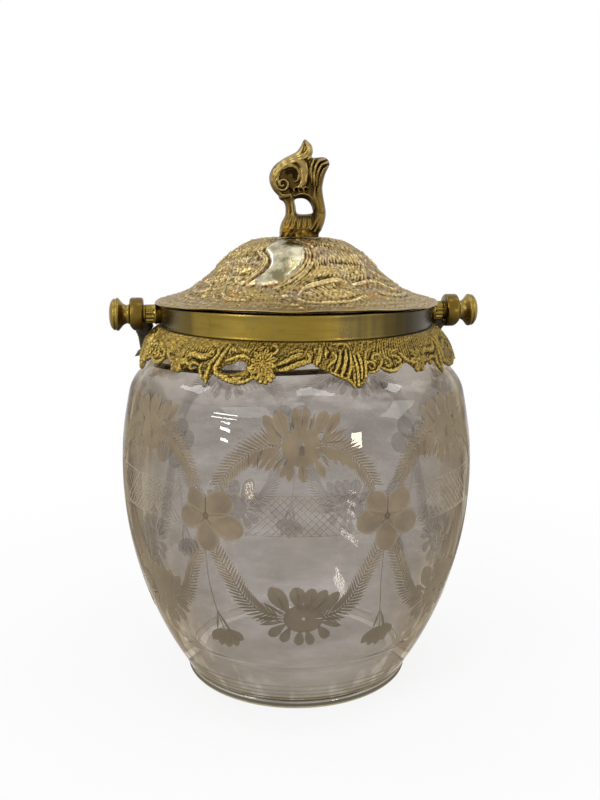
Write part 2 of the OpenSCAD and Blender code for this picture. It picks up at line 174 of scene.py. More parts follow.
# ---------------------------------------------------------------- meshes
def curve_through(points, per_span=6, closed=False):
    """Smooth curve through the points, with per_span places to each stretch."""
    p = np.asarray(points, float)
    if closed:
        p = np.vstack([p[-1], p, p[0], p[1]])
    else:
        p = np.vstack([2 * p[0] - p[1], p, 2 * p[-1] - p[-2]])
    t = np.linspace(0, 1, per_span, endpoint=False)[:, None]
    out = []
    for a, b, c, d in zip(p, p[1:], p[2:], p[3:]):
        cubic = 2 * b + (c - a) * t + (2 * a - 5 * b + 4 * c - d) * t**2 + (3 * b - a - 3 * c + d) * t**3
        out.append(cubic / 2)
    if not closed:
        out.append(p[-2][None])
    return np.vstack(out)


def new_object(name, data):
    thing = bpy.data.objects.new(name, data)
    bpy.context.scene.collection.objects.link(thing)
    return thing


def mesh_object(name, points, faces, edges=()):
    """A smooth-shaded object from points in millimetres."""
    mesh = bpy.data.meshes.new(name)
    faces = [list(map(int, face)) for face in faces]
    mesh.from_pydata((np.asarray(points, float) * MM).tolist(), list(edges), faces)
    mesh.validate()
    mesh.shade_smooth()
    return new_object(name, mesh)


def chain_object(name, points):
    """Points in millimetres, joined one to the next."""
    return mesh_object(name, points, [], [(i, i + 1) for i in range(len(points) - 1)])


def ring_faces(rows, columns):
    """Quads between rows of points that run round in closed rings."""
    i, j = np.meshgrid(np.arange(rows - 1), np.arange(columns), indexing="ij")
    i, j = i.ravel(), j.ravel()
    n = (j + 1) % columns
    return np.stack([i * columns + j, i * columns + n, (i + 1) * columns + n, (i + 1) * columns + j], 1)


def tube_faces(rows, columns):
    """Quads of a closed tube of rings, with a flat face over each end."""
    ends = [list(range(columns)), list(range((rows - 1) * columns, rows * columns))[::-1]]
    return ring_faces(rows, columns).tolist() + ends


def round_axis(r, bearing, z):
    """Places at radii, bearings in radians and heights, round the jar's axis."""
    return np.stack(np.broadcast_arrays(r * np.sin(bearing), -r * np.cos(bearing), z), -1).reshape(-1, 3)


def closed_shell(front, back, faces):
    """Points and faces of a wall: the front's faces, the same ones turned round behind, and its edges."""
    count = len(front)
    open_edges = {}
    for face in faces:
        for a, b in zip(face, list(face[1:]) + [face[0]]):
            if (b, a) in open_edges:
                del open_edges[(b, a)]
            else:
                open_edges[(a, b)] = True
    rim = [(b, a, a + count, b + count) for a, b in open_edges]
    return np.vstack([front, back]), faces + [[i + count for i in face[::-1]] for face in faces] + rim


def set_attribute(thing, name, values):
    layer = thing.data.attributes.new(name, "FLOAT", "POINT")
    layer.data.foreach_set("value", np.asarray(values, np.float32))


def face_outwards(thing):
    """Merges doubles and turns every face of a closed mesh outwards."""
    work = bmesh.new()
    work.from_mesh(thing.data)
    bmesh.ops.remove_doubles(work, verts=work.verts, dist=1e-6)
    bmesh.ops.recalc_face_normals(work, faces=work.faces)
    if work.calc_volume(signed=True) < 0:
        bmesh.ops.reverse_faces(work, faces=work.faces)
    work.to_mesh(thing.data)
    work.free()
    thing.data.shade_smooth()


def placed(thing, matrix):
    """Moves a mesh by a matrix in metres, and leaves its object at the origin."""
    thing.data.transform(matrix)
    thing.data.update()
    return thing


def joined(name, things):
    """One object that holds the meshes of several."""
    bpy.ops.object.select_all(action="DESELECT")
    for thing in things:
        thing.select_set(True)
    bpy.context.view_layer.objects.active = things[0]
    bpy.ops.object.join()
    things[0].name = things[0].data.name = name
    return things[0]


def dressed(thing, material, body, slot, *replaced):
    """Gives a piece its material and its body, and hides the solids that it stands for; slot is not used."""
    thing.data.materials.clear()
    thing.data.materials.append(material)
    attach(thing, body)
    if replaced:
        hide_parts(*replaced)
    return thing


def pivot_matrix(side):
    """Carries a piece made along +Z out along the pivots' axis, to the right (1) or left (-1)."""
    return Matrix.Translation((0, 0, PIVOT_Z * MM)) @ Matrix.Rotation(side * math.pi / 2, 4, "Y")


# ---------------------------------------------------------------- node trees
class Graph:
    """Builds a node tree: each value is a number, a vector, a colour, a socket, or None to leave it."""

    def __init__(self, tree):
        self.tree = tree

    def feed(self, socket, value):
        if isinstance(value, bpy.types.NodeSocket):
            self.tree.links.new(value, socket)
        elif value is not None:
            plain_colour = socket.type == "RGBA" and len(value) == 3
            socket.default_value = (*value, 1) if plain_colour else value

    def add(self, kind, *values, **named):
        """A node. A name with a capital is an input, with _ for a space, and any other is a setting."""
        node = self.tree.nodes.new(kind)
        for key, value in named.items():
            if not key[0].isupper():
                setattr(node, key, value)
        inputs = [socket for socket in node.inputs if socket.enabled]
        for socket, value in zip(inputs, values):
            self.feed(socket, value)
        for key, value in named.items():
            if key[0].isupper():
                self.feed(next(s for s in inputs if s.name == key.replace("_", " ")), value)
        return node

    def made(self, *values, **named):
        """First output of a new node."""
        return self.add(*values, **named).outputs[0]

    def math(self, operation, *values):
        return self.made("ShaderNodeMath", *values, operation=operation)

    def times(self, value, *others):
        for other in others:
            value = self.math("MULTIPLY", value, other)
        return value

    def mix(self, factor, first, second):
        """The first colour, or as much of the second as the factor says."""
        node = self.add("ShaderNodeMix", data_type="RGBA")
        for index, value in ((0, factor), (6, first), (7, second)):
            self.feed(node.inputs[index], value)
        return node.outputs[2]

    def ramp(self, value, low, high, to_low=0.0, to_high=1.0):
        return self.made("ShaderNodeMapRange", value, low, high, to_low, to_high)

    def noise(self, spot, scale, detail, rough):
        return self.made("ShaderNodeTexNoise", Vector=spot, Scale=scale, Detail=detail, Roughness=rough)

    def spot(self):
        """Place on the piece, in metres."""
        return self.add("ShaderNodeTexCoord").outputs["Object"]

    def split(self, vector):
        return self.add("ShaderNodeSeparateXYZ", vector).outputs

    def vector(self, x, y, z):
        return self.made("ShaderNodeCombineXYZ", x, y, z)

    def attribute(self, name):
        return self.add("ShaderNodeAttribute", attribute_name=name).outputs["Fac"]

    def facing(self):
        """0 where a face looks straight this way, rising to 1 at the piece's edges."""
        return self.add("ShaderNodeLayerWeight", 0.5).outputs["Facing"]

    def stretched(self, spot, up):
        """A place with its height scaled, for noise that runs up a piece or round it."""
        return self.made("ShaderNodeMapping", Vector=spot, Scale=(1.0, 1.0, up))

    def bump(self, skin, height, distance, strength=1.0):
        raised = self.made("ShaderNodeBump", Strength=strength, Distance=distance, Height=height)
        self.feed(skin.inputs["Normal"], raised)

    def moved(self, geometry, place):
        return self.made("GeometryNodeSetPosition", Geometry=geometry, Position=place)

    def merged(self, geometry, distance):
        return self.made("GeometryNodeMergeByDistance", Geometry=geometry, Distance=distance)

    def together(self, *parts):
        node = self.add("GeometryNodeJoinGeometry")
        for part in parts:
            self.feed(node.inputs[0], part)
        return node.outputs[0]

    def finish(self, result, geometry, material):
        """Ends a geometry tree: real meshes in one material."""
        real = self.made("GeometryNodeRealizeInstances", geometry)
        self.feed(result, self.made("GeometryNodeSetMaterial", Geometry=real, Material=material))


def new_tree(name, kind, inputs, outputs):
    """A node group with named inputs (label, kind of socket, perhaps a default) and outputs (label, kind)."""
    tree = bpy.data.node_groups.new(name, kind)
    for label, socket, *default in inputs:
        item = tree.interface.new_socket(label, in_out="INPUT", socket_type="NodeSocket" + socket)
        if default:
            item.default_value = default[0]
    for label, socket in outputs:
        tree.interface.new_socket(label, in_out="OUTPUT", socket_type="NodeSocket" + socket)
    graph = Graph(tree)
    return graph, graph.add("NodeGroupInput").outputs, graph.add("NodeGroupOutput").inputs


def run_tree(thing, tree, **values):
    """Runs a geometry tree on an object and keeps the result as its plain mesh."""
    modifier = thing.modifiers.new(tree.name, "NODES")
    modifier.node_group = tree
    for item in tree.interface.items_tree:
        key = item.name.lower().replace(" ", "_")
        if item.in_out == "INPUT" and key in values:
            modifier[item.identifier] = values[key]
    graph = bpy.context.evaluated_depsgraph_get()
    made = bpy.data.meshes.new_from_object(thing.evaluated_get(graph))
    thing.modifiers.remove(modifier)
    thing.data = made
    return thing


def turning_tree():
    """Turns a chain of points, held as (radius, flute depth, height), round +Z."""
    g, given, result = new_tree(
        "turned_piece",
        "GeometryNodeTree",
        [("Profile", "Geometry"), ("Segments", "Int", 128), ("Flutes", "Int", 0), ("Finish", "Material")],
        [("Skin", "Geometry")],
    )
    position = g.made("GeometryNodeInputPosition")
    rows = g.made("GeometryNodeAttributeDomainSize", given["Profile"])
    last_row = g.math("SUBTRACT", rows, 1)
    columns = g.math("ADD", given["Segments"], 1)
    grid = g.made("GeometryNodeMeshGrid", last_row, given["Segments"], rows, columns)
    spot = g.split(position)
    row = g.math("ROUND", g.math("MULTIPLY_ADD", last_row, 0.5, spot[0]))
    column = g.math("MULTIPLY_ADD", given["Segments"], 0.5, spot[1])
    angle = g.times(g.math("DIVIDE", column, given["Segments"]), math.tau)
    sample = g.made("GeometryNodeSampleIndex", data_type="FLOAT_VECTOR", Geometry=given["Profile"],
                    Value=position, Index=row)
    point = g.split(sample)
    wave = g.math("MULTIPLY_ADD", g.math("COSINE", g.times(angle, given["Flutes"])), 0.5, 0.5)
    radius = g.math("SUBTRACT", point[0], g.times(point[1], g.math("POWER", wave, 1.5)))
    x = g.times(radius, g.math("SINE", angle))
    y = g.times(radius, g.math("COSINE", angle))
    bent = g.moved(grid, g.vector(x, y, point[2]))
    g.finish(result["Skin"], g.merged(bent, 2e-6), given["Finish"])
    return g.tree


def turned(name, profile, tree, segments, flutes=0):
    """A turned piece from (radius, height) or (radius, flute depth, height) points."""
    points = [(p[0], p[1] if len(p) == 3 else 0.0, p[-1]) for p in profile]
    thing = chain_object(name, points)
    run_tree(thing, tree, segments=segments, flutes=flutes)
    face_outwards(thing)
    return thing


# ---------------------------------------------------------------- camera, stage and light
def add_camera():
    data = bpy.data.cameras.new("camera")
    data.sensor_width = 36.0
    data.lens = 43.29
    data.shift_x = 0.00475
    data.clip_start = 0.01
    camera = new_object("camera", data)
    camera.location = (-0.0458, -0.4081, 0.2081)
    camera.rotation_euler = (math.radians(77.91), 0, math.radians(LID_TURN))
    bpy.context.scene.camera = camera


def backdrop_rays(g):
    """1 for the rays that show the backdrop, and 0 for those that light the jar."""
    path = g.add("ShaderNodeLightPath").outputs
    seen = g.math("MAXIMUM", path["Is Camera Ray"], path["Is Glossy Ray"])
    return g.math("MAXIMUM", seen, path["Is Transmission Ray"])


def cleared(owner):
    """Empties the nodes of a material or a world, and gives a graph to build them anew."""
    owner.use_nodes = True
    owner.node_tree.nodes.clear()
    return Graph(owner.node_tree)


def add_world(level):
    world = bpy.data.worlds.new("studio")
    g = cleared(world)
    strength = g.ramp(backdrop_rays(g), 0, 1, level, 1.0)
    g.add("ShaderNodeOutputWorld", g.made("ShaderNodeBackground", (1, 1, 1), strength))
    bpy.context.scene.world = world


def add_floor():
    """White floor that keeps a soft shadow near the jar."""
    material = bpy.data.materials.new("floor_white")
    g = cleared(material)
    away = g.add("ShaderNodeVectorMath", g.spot(), operation="LENGTH").outputs["Value"]
    path = g.add("ShaderNodeLightPath").outputs
    direct = g.times(path["Is Camera Ray"], g.ramp(away, 0.05, 0.32, 0.86, 1.0))
    glow = g.math("MAXIMUM", direct, g.math("MAXIMUM", path["Is Glossy Ray"], path["Is Transmission Ray"]))
    matte = g.made("ShaderNodeBsdfDiffuse", (0.8, 0.8, 0.8))
    white = g.made("ShaderNodeEmission", (1, 1, 1), 1.0)
    g.add("ShaderNodeOutputMaterial", g.made("ShaderNodeMixShader", glow, matte, white))
    side = 4000.0
    corners = [(-side, -side, 0), (side, -side, 0), (side, side, 0), (-side, side, 0)]
    floor = mesh_object("floor", corners, [(0, 1, 2, 3)])
    floor.data.materials.append(material)


def add_lamp(name, place, aim, size, power, along=(1, 0, 0), tint=(1, 1, 1)):
    """Area lamp of size (width, height) at a place, aimed at a point, in metres. Its width lies along a
    direction."""
    data = bpy.data.lights.new(name, "AREA")
    data.shape = "RECTANGLE"
    data.size, data.size_y = size
    data.energy = power
    data.color = tint
    lamp = new_object(name, data)
    back = (Vector(place) - Vector(aim)).normalized()
    across = Vector(along) - back * Vector(along).dot(back)
    across.normalize()
    turn = Matrix((across, back.cross(across), back)).transposed().to_4x4()
    lamp.matrix_world = Matrix.Translation(place) @ turn


def add_lamps():
    """A soft key with a louvre of narrow strips below it, a soft fill, a small window and panes overhead."""
    jar = (0, 0, 0.12)
    add_lamp("key_lamp", (-0.9, -1.0, 1.1), jar, (0.8, 0.8), 4.5)
    strips = [((-1.10, -0.78, 0.74), (0.42, 0.07)), ((-1.10, -0.80, 0.50), (0.42, 0.045)),
              ((-1.12, -0.88, 0.35), (0.17, 0.03)), ((-1.11, -0.89, 0.28), (0.17, 0.026)),
              ((-1.11, -0.89, 0.20), (0.12, 0.024))]
    for k, (place, size) in enumerate(strips):
        add_lamp(f"louvre_{k + 1}", place, jar, size, 85.0 * size[0] * size[1], (0.65, -0.75, -0.06))
    add_lamp("fill_lamp", (1.2, -0.5, 0.7), jar, (0.4, 0.9), 3.0)
    add_lamp("window", (0.75, -1.25, 0.22), jar, (0.17, 0.12), 1.7, tint=(1.0, 0.90, 0.72))
    panes = [((0.18, -0.25, 1.52), (0.42, 0.20)), ((-0.82, 0.42, 1.20), (0.34, 0.40)),
             ((0.84, 0.16, 1.26), (0.36, 0.22))]
    for k, (place, size) in enumerate(panes):
        add_lamp(f"ceiling_{k + 1}", place, jar, size, 15.0 * size[0] * size[1])


# ---------------------------------------------------------------- materials
def tarnish_tree():
    """Colour and surface of aged brass: bright where it is high and rubbed, dark where dirt stays, and darker
    on faces that look down as painted shade.
    """
    g, given, out = new_tree(
        "tarnish",
        "ShaderNodeTree",
        [(label, "Color") for label in ("Metal", "Dark", "Rubbed", "Stain")]
        + [(label, "Float") for label in ("Blotches", "Grain", "Dirt", "Gloss", "High", "Stained", "Under")],
        [("Colour", "Color"), ("Roughness", "Float"), ("Height", "Float")],
    )
    spot = g.spot()
    blotch = g.noise(spot, given["Blotches"], 5.0, 0.6)
    grain = g.noise(spot, given["Grain"], 3.0, 0.6)
    speck = g.ramp(g.noise(spot, g.times(given["Grain"], 0.45), 2.0, 0.5), 0.58, 0.75)
    level = g.math("ADD", given["High"], g.times(g.math("SUBTRACT", blotch, 0.5), 0.5))
    low = g.ramp(level, 0.42, 0.08)
    high = g.ramp(level, 0.55, 0.95)
    stain = g.ramp(blotch, 0.5, 0.75)
    dirt = g.math("MAXIMUM", low, g.times(g.math("MAXIMUM", speck, stain), 0.4))
    dirt = g.times(dirt, given["Dirt"])
    # Faces that look down are darkened: painted shade.
    up = g.split(g.add("ShaderNodeNewGeometry").outputs["Normal"])[2]
    dirt = g.math("MAXIMUM", dirt, g.times(g.ramp(up, 0.0, -0.85), given["Under"]))
    elsewhere = g.made("ShaderNodeVectorMath", spot, (0.3, 0.2, 0.1))
    patch = g.ramp(g.noise(elsewhere, given["Blotches"], 4.0, 0.55), 0.5, 0.62)
    colour = g.mix(g.times(patch, given["Stained"]), given["Metal"], given["Stain"])
    colour = g.mix(high, colour, given["Rubbed"])
    g.feed(out["Colour"], g.mix(dirt, colour, given["Dark"]))
    rough = g.math("ADD", given["Gloss"], g.times(dirt, 0.45))
    rough = g.math("ADD", rough, g.times(g.math("SUBTRACT", grain, 0.5), 0.25))
    g.feed(out["Roughness"], g.ramp(rough, 0.05, 0.9, 0.05, 0.9))
    g.feed(out["Height"], g.math("ADD", grain, g.times(blotch, 1.5)))
    return g.tree


def new_material(name, **looks):
    """A material of one shader, whose inputs take plain values."""
    material = bpy.data.materials.new(name)
    g = cleared(material)
    skin = g.add("ShaderNodeBsdfPrincipled", **looks)
    g.add("ShaderNodeOutputMaterial", skin.outputs[0])
    return material, g, skin


def brass(name, tree, metal, dark, rubbed, blotches, grain, dirt, gloss, bump=0.00002, relief=False,
          stain=(0.2, 0.12, 0.03), stained=0.0, under=0.4):
    """Aged brass. With relief, the piece's own relief attribute says where it is high; under sets how far
    painted shade darkens the faces that look down.
    """
    material, g, skin = new_material(name, Metallic=1.0)
    high = g.attribute("relief") if relief else 0.55
    aged = g.add("ShaderNodeGroup", node_tree=tree, Metal=metal, Dark=dark, Rubbed=rubbed, Blotches=blotches,
                 Grain=grain, Dirt=dirt, Gloss=gloss, High=high, Stain=stain, Stained=stained,
                 Under=under).outputs
    g.feed(skin.inputs["Base Color"], aged["Colour"])
    g.feed(skin.inputs["Roughness"], aged["Roughness"])
    g.bump(skin, aged["Height"], bump)
    return material


def skin_of(material):
    """The shader of a finish and a graph to add nodes to it."""
    return Graph(material.node_tree), next(n for n in material.node_tree.nodes if n.type == "BSDF_PRINCIPLED")


def painted_over(material, make_mask, colour, rough=None):
    """Lays a second colour, and perhaps another roughness, over part of a finish. make_mask builds the part,
    and colour may be a function that builds one."""
    g, skin = skin_of(material)
    spot = g.spot()
    mask = make_mask(g, spot)
    under = skin.inputs["Base Color"].links[0].from_socket
    g.feed(skin.inputs["Base Color"], g.mix(mask, under, colour(g, spot) if callable(colour) else colour))
    if rough is not None:
        before = skin.inputs["Roughness"].links[0].from_socket
        step = g.times(mask, g.math("SUBTRACT", rough, before))
        g.feed(skin.inputs["Roughness"], g.math("ADD", before, step))


def polish_drop(material):
    """The plain drop on the lid, worn down to silver, and mottled dark and light as painted reflection."""

    def worn(g, spot):
        return g.attribute("polish")

    def silver(g, spot):
        # Silver mottled from dark to light: painted reflection.
        cloud = g.ramp(g.noise(spot, 105.0, 5.0, 0.62), 0.4, 0.6)
        return g.mix(cloud, (0.22, 0.19, 0.10), (0.80, 0.73, 0.53))

    painted_over(material, worn, silver, 0.2)


def gild_foot(material):
    """Bright gilding left in the foot of the finial."""

    def left(g, spot):
        to_left = g.ramp(g.split(spot)[0], 0.004, -0.002, 0.25, 1)
        return g.times(g.attribute("foot"), g.ramp(g.noise(spot, 260.0, 4.0, 0.6), 0.48, 0.62), to_left)

    painted_over(material, left, (0.36, 0.21, 0.03))


def paint_collar_reflections(material):
    """Painted reflections on the band: dark on its right and at its left edge, greyish right of its middle.
    Fine brush marks run round it.
    """

    def brushed(g, spot):
        return g.times(g.ramp(g.noise(g.stretched(spot, 14.0), 60.0, 4.0, 0.6), 0.45, 0.7), 0.5)

    def stained(g, spot):
        # Dark painted reflection, in cloudy upright streaks, on the right of the band and at its left edge.
        x = g.split(spot)[0]
        cloud = g.times(g.math("SUBTRACT", g.noise(g.stretched(spot, 0.12), 90.0, 2.0, 0.5), 0.5), 0.016)
        right = g.ramp(g.math("ADD", x, cloud), 0.024, 0.036, 0.0, 0.92)
        left = g.ramp(g.math("SUBTRACT", cloud, x), 0.042, 0.048, 0.0, 0.55)
        return g.math("MAXIMUM", right, left)

    def painted_grey_reflection(g, spot):
        # Greyish painted reflection in upright streaks, just right of the middle of the band.
        streaks = g.ramp(g.noise(g.stretched(spot, 0.05), 260.0, 3.0, 0.6), 0.3, 0.6, 0.25, 0.75)
        return g.times(g.ramp(g.split(spot)[0], 0.006, 0.013), streaks)

    painted_over(material, brushed, (0.16, 0.11, 0.02))
    painted_over(material, painted_grey_reflection, (0.09, 0.072, 0.036))
    painted_over(material, stained, (0.034, 0.024, 0.009))


def orange_patches(g, spot):
    """Where the lid's gilding has turned orange."""
    return g.ramp(g.noise(spot, 150.0, 4.0, 0.6), 0.57, 0.68)


def painted_shade_right(g, spot):
    """Painted shade, darker towards the right of the skirt."""
    return g.ramp(g.split(spot)[0], 0.02, 0.05, 0.0, 0.4)


def clear_glass():
    """Clear glass, tinted on its outer face only: a clouded tint, partly painted reflection; light streaks,
    warm edges, pale glints and a pale shoulder band as painted reflections; light and dark rings in its foot
    as painted refraction lines.
    """
    material, g, skin = new_material("jar_glass", Roughness=0.0, IOR=1.06, Coat_Roughness=0.0, Coat_IOR=1.5,
                                     Transmission_Weight=1.0)
    spot = g.spot()
    x, y, z = g.split(spot)
    slant = g.made("ShaderNodeMapping", Vector=spot, Rotation=(0.0, 0.6, 0.0), Scale=(1.0, 1.0, 3.2))
    # A clouded tint, partly painted reflection, and light slanting streaks of painted reflection.
    cloud = g.ramp(g.noise(spot, 24.0, 5.0, 0.62), 0.34, 0.66)
    streak = g.ramp(g.noise(slant, 34.0, 5.0, 0.62), 0.42, 0.7)
    wall = g.mix(cloud, (0.20, 0.174, 0.15), (0.305, 0.272, 0.238))
    wall = g.mix(g.times(streak, 0.7), wall, (0.44, 0.405, 0.38))
    edge = g.facing()
    out = g.math("SQRT", g.math("ADD", g.times(x, x), g.times(y, y)))
    beyond_punt = g.ramp(out, 0.0455, 0.047)
    upright = g.math("MAXIMUM", g.ramp(z, 0.002, 0.003), beyond_punt)
    # Warm brown towards the edges: painted reflection.
    wall = g.mix(g.times(g.ramp(edge, 0.18, 0.78), upright), wall, (0.17, 0.11, 0.036))
    # Pale upright glints near the edges: painted reflection.
    glint = g.ramp(g.noise(g.stretched(spot, 0.10), 170.0, 3.0, 0.55), 0.5, 0.66)
    wall = g.mix(g.times(glint, g.ramp(edge, 0.42, 0.62), upright, 0.75), wall, (0.62, 0.53, 0.37))
    # A pale band on the shoulder: painted reflection.
    shoulder = g.times(g.ramp(z, 0.128, 0.136), g.ramp(streak, 0.0, 0.5), 0.85)
    wall = g.mix(shoulder, wall, (0.64, 0.585, 0.53))
    near_side = g.math("SUBTRACT", 1, g.add("ShaderNodeNewGeometry").outputs["Backfacing"])
    foot = g.times(beyond_punt, near_side)
    beside = g.times(foot, g.ramp(edge, 0.3, 0.65))
    # Light and dark rings round the foot: painted refraction lines.
    dark, gold, olive = (0.02, 0.015, 0.004), (0.30, 0.235, 0.08), (0.055, 0.042, 0.012)
    for low, high, where, colour in [(-0.001, 0.0009, foot, gold), (0.0015, 0.0027, foot, dark),
                                     (0.0036, 0.0046, foot, dark), (0.0057, 0.0062, foot, olive),
                                     (0.0080, 0.0085, beside, olive), (0.0104, 0.0108, beside, olive),
                                     (0.0132, 0.0135, beside, olive)]:
        ring = g.times(g.ramp(z, low - 0.0003, low), g.ramp(z, high + 0.0003, high), where)
        wall = g.mix(ring, wall, colour)
    outer = g.attribute("outer")
    g.feed(skin.inputs["Base Color"], g.mix(outer, (1, 1, 1), wall))
    g.feed(skin.inputs["Coat Weight"], g.times(outer, g.ramp(edge, 0.35, 0.75, 0.8, 0.0)))
    g.bump(skin, g.noise(spot, 16.0, 0.0, 0.5), 0.0004)
    return material


def frosted_glass(name, front, behind, low, high, rib, painted_edge_reflection=(0.27, 0.205, 0.10)):
    """Matt cut glass in two colours that cloud into each other, with pale edges to its petals, a third colour
    along their middles, a fourth as painted reflection where the jar turns away, and a pale painted light
    seen from behind. front and behind say how solid it looks from outside and through the jar."""
    material, g, skin = new_material(name, Roughness=0.6, Transmission_Weight=0.3)
    spot = g.spot()
    cloud = g.ramp(g.noise(spot, 95.0, 5.0, 0.62), 0.35, 0.65)
    across = g.attribute("across")
    colour = g.mix(g.times(g.ramp(across, 0.86, 1.0), 0.5), g.mix(cloud, low, high), rib)
    colour = g.mix(g.times(g.ramp(across, 0.24, 0.02), 0.6), colour, (0.36, 0.30, 0.22))
    low_down = g.ramp(g.split(spot)[2], 0.070, 0.058)
    colour = g.mix(g.times(low_down, 0.7), colour, (0.10, 0.078, 0.045))
    # Where the jar turns away the last colour takes over: painted reflection.
    colour = g.mix(g.times(g.ramp(g.facing(), 0.3, 0.75), 0.75), colour, painted_edge_reflection)
    turned_away = g.add("ShaderNodeNewGeometry").outputs["Backfacing"]
    # Seen from behind, through the jar, it takes a pale warm colour: painted light.
    g.feed(skin.inputs["Base Color"], g.mix(turned_away, colour, (0.85, 0.70, 0.50)))
    outside = g.math("SUBTRACT", 1, g.attribute("inner"))
    g.feed(skin.inputs["Alpha"], g.times(g.ramp(turned_away, 0, 1, front, behind), outside))
    g.bump(skin, g.noise(spot, 1500.0, 2.0, 0.6), 0.00002, 0.6)
    return material


def plaster():
    """Dull setting plaster."""
    material, g, skin = new_material("setting_plaster", Roughness=0.9)
    cloud = g.noise(g.spot(), 160.0, 5.0, 0.65)
    g.feed(skin.inputs["Base Color"], g.mix(cloud, (0.60, 0.56, 0.47), (0.78, 0.75, 0.68)))
    g.bump(skin, cloud, 0.00012, 0.8)
    return material


# ---------------------------------------------------------------- relief drawn with strokes
def chain_distance(x, y, chain):
    """Distance from each place to a chain of points, and the share of the chain before the nearest spot."""
    best = np.full(x.shape, 1e9)
    along = np.zeros(x.shape)
    run = 0.0
    for (ax, ay), (bx, by) in zip(chain, chain[1:]):
        dx, dy = bx - ax, by - ay
        length = math.hypot(dx, dy)
        if length < 1e-9:
            continue
        t = np.clip(((x - ax) * dx + (y - ay) * dy) / length**2, 0, 1)
        d = np.hypot(x - ax - t * dx, y - ay - t * dy)
        near = d < best
        best = np.where(near, d, best)
        along = np.where(near, run + t * length, along)
        run += length
    return best, along / max(run, 1e-9)


def inside_loop(x, y, loop):
    """True where a place lies inside a closed chain of points."""
    inside = np.zeros(x.shape, bool)
    for (ax, ay), (bx, by) in zip(loop, np.roll(loop, -1, 0)):
        crosses = (ay > y) != (by > y)
        with np.errstate(divide="ignore", invalid="ignore"):
            inside ^= crosses & (x < (bx - ax) * (y - ay) / (by - ay) + ax)
    return inside


def depth_inside(x, y, loop):
    """How far inside a closed chain of points each place lies, and below 0 outside it."""
    edge = chain_distance(x, y, np.vstack([loop, loop[:1]]))[0]
    return np.where(inside_loop(x, y, loop), edge, -edge)


class Relief:
    """Heights over flat places (x, y) in millimetres, built up from strokes. metal is above 0 on strokes."""

    def __init__(self, x, y):
        self.x, self.y = x, y
        self.height = np.zeros(x.shape)
        self.metal = np.full(x.shape, -9.0)
        self.away = np.full(x.shape, 9.0)

    def near(self, chain, reach):
        """Which places lie in the box round a chain, grown by a reach."""
        low, high = chain.min(0) - reach, chain.max(0) + reach
        return np.nonzero((self.x > low[0]) & (self.x < high[0]) & (self.y > low[1]) & (self.y < high[1]))[0]

    def stroke(self, points, half, height, taper=(0.35, 0.35), lobes=0, veins=0.0, centre=0.0, per_span=5,
               echo=0.0):
        """A rounded ridge along a curve: half width `half`, narrowing to the shares `taper` at its ends, with
        lobes along its edges, slanting veins and a groove down its centre. Its echoes reach `echo` away."""
        chain = curve_through(points, per_span)
        i = self.near(chain, half + max(0.5, echo))
        if not len(i):
            return
        d, t = chain_distance(self.x[i], self.y[i], chain)
        width = half * np.minimum(1, np.minimum(taper[0] + t * 4 * (1 - taper[0]),
                                                taper[1] + (1 - t) * 4 * (1 - taper[1])))
        if lobes:
            width = width * (0.72 + 0.28 * np.abs(np.sin(np.pi * lobes * t)))
        share = np.clip(1 - (d / width) ** 2, 0, 1)
        rise = height * np.sqrt(share)
        if veins:
            count = max(2 * lobes, 7)
            rise = rise * (1 - veins * (0.5 + 0.5 * np.cos(2 * np.pi * (count * t - d / half * 0.8))))
        if centre:
            rise = rise * (1 - centre * np.exp(-((d / (0.3 * half)) ** 2)))
        inside = d < width
        self.height[i] = np.where(inside, np.maximum(self.height[i], rise), self.height[i])
        self.metal[i] = np.maximum(self.metal[i], width - d)
        if echo:
            self.away[i] = np.minimum(self.away[i], np.maximum(d - width, 0))

    def cut(self, points, half, depth):
        """A groove along a curve."""
        chain = curve_through(points, 5)
        i = self.near(chain, half * 2.5)
        if len(i):
            d = chain_distance(self.x[i], self.y[i], chain)[0]
            self.height[i] -= depth * np.exp(-((d / half) ** 2))

    def row(self, tops, bottoms, count, half, height, **how):
        """Side-by-side strokes from one curve to another."""
        a, b = curve_through(tops, 12), curve_through(bottoms, 12)
        for t in np.linspace(0, 1, count):
            ends = [curve[int(t * (len(curve) - 1))] for curve in (a, b)]
            self.stroke(ends, half, height, **how)

    def echoes(self, pitch, depth, fade):
        """Fine lines that run beside the strokes drawn with an echo, and fade away from them."""
        wave = 0.5 - 0.5 * np.cos(2 * np.pi * self.away / pitch)
        self.height += depth * wave * np.exp(-self.away / fade) * (self.away > 0) * (self.away < 8.9)

    def button(self, x, y, half, height):
        """A round knob."""
        self.stroke([(x - 0.05, y), (x + 0.05, y)], half, height, (1, 1), per_span=1)

    def scroll(self, x, y, size, turns, start, half, height, **how):
        """A spiral stroke that winds in to (x, y) from `size` away; turns may be negative."""
        t = np.linspace(0, 1, max(6, int(abs(turns) * 10)))
        r = size * (1 - t) ** 0.85 + half * 0.6 * t
        a = start + 2 * math.pi * turns * t
        points = np.stack([x + r * np.cos(a), y + r * np.sin(a)], 1)
        self.stroke(points, half, height, per_span=2, **how)


def rough_ground(x, y, pitch, seed):
    """Soft random unevenness between -1 and 1, from crossing waves of about that pitch."""
    chance = np.random.default_rng(seed)
    total = np.zeros(x.shape)
    for _ in range(14):
        heading, phase = chance.uniform(0, math.pi), chance.uniform(0, math.tau)
        wave = math.tau / (pitch * chance.uniform(0.7, 1.8))
        total += np.sin(wave * (x * math.cos(heading) + y * math.sin(heading)) + phase)
    return total / 5.0


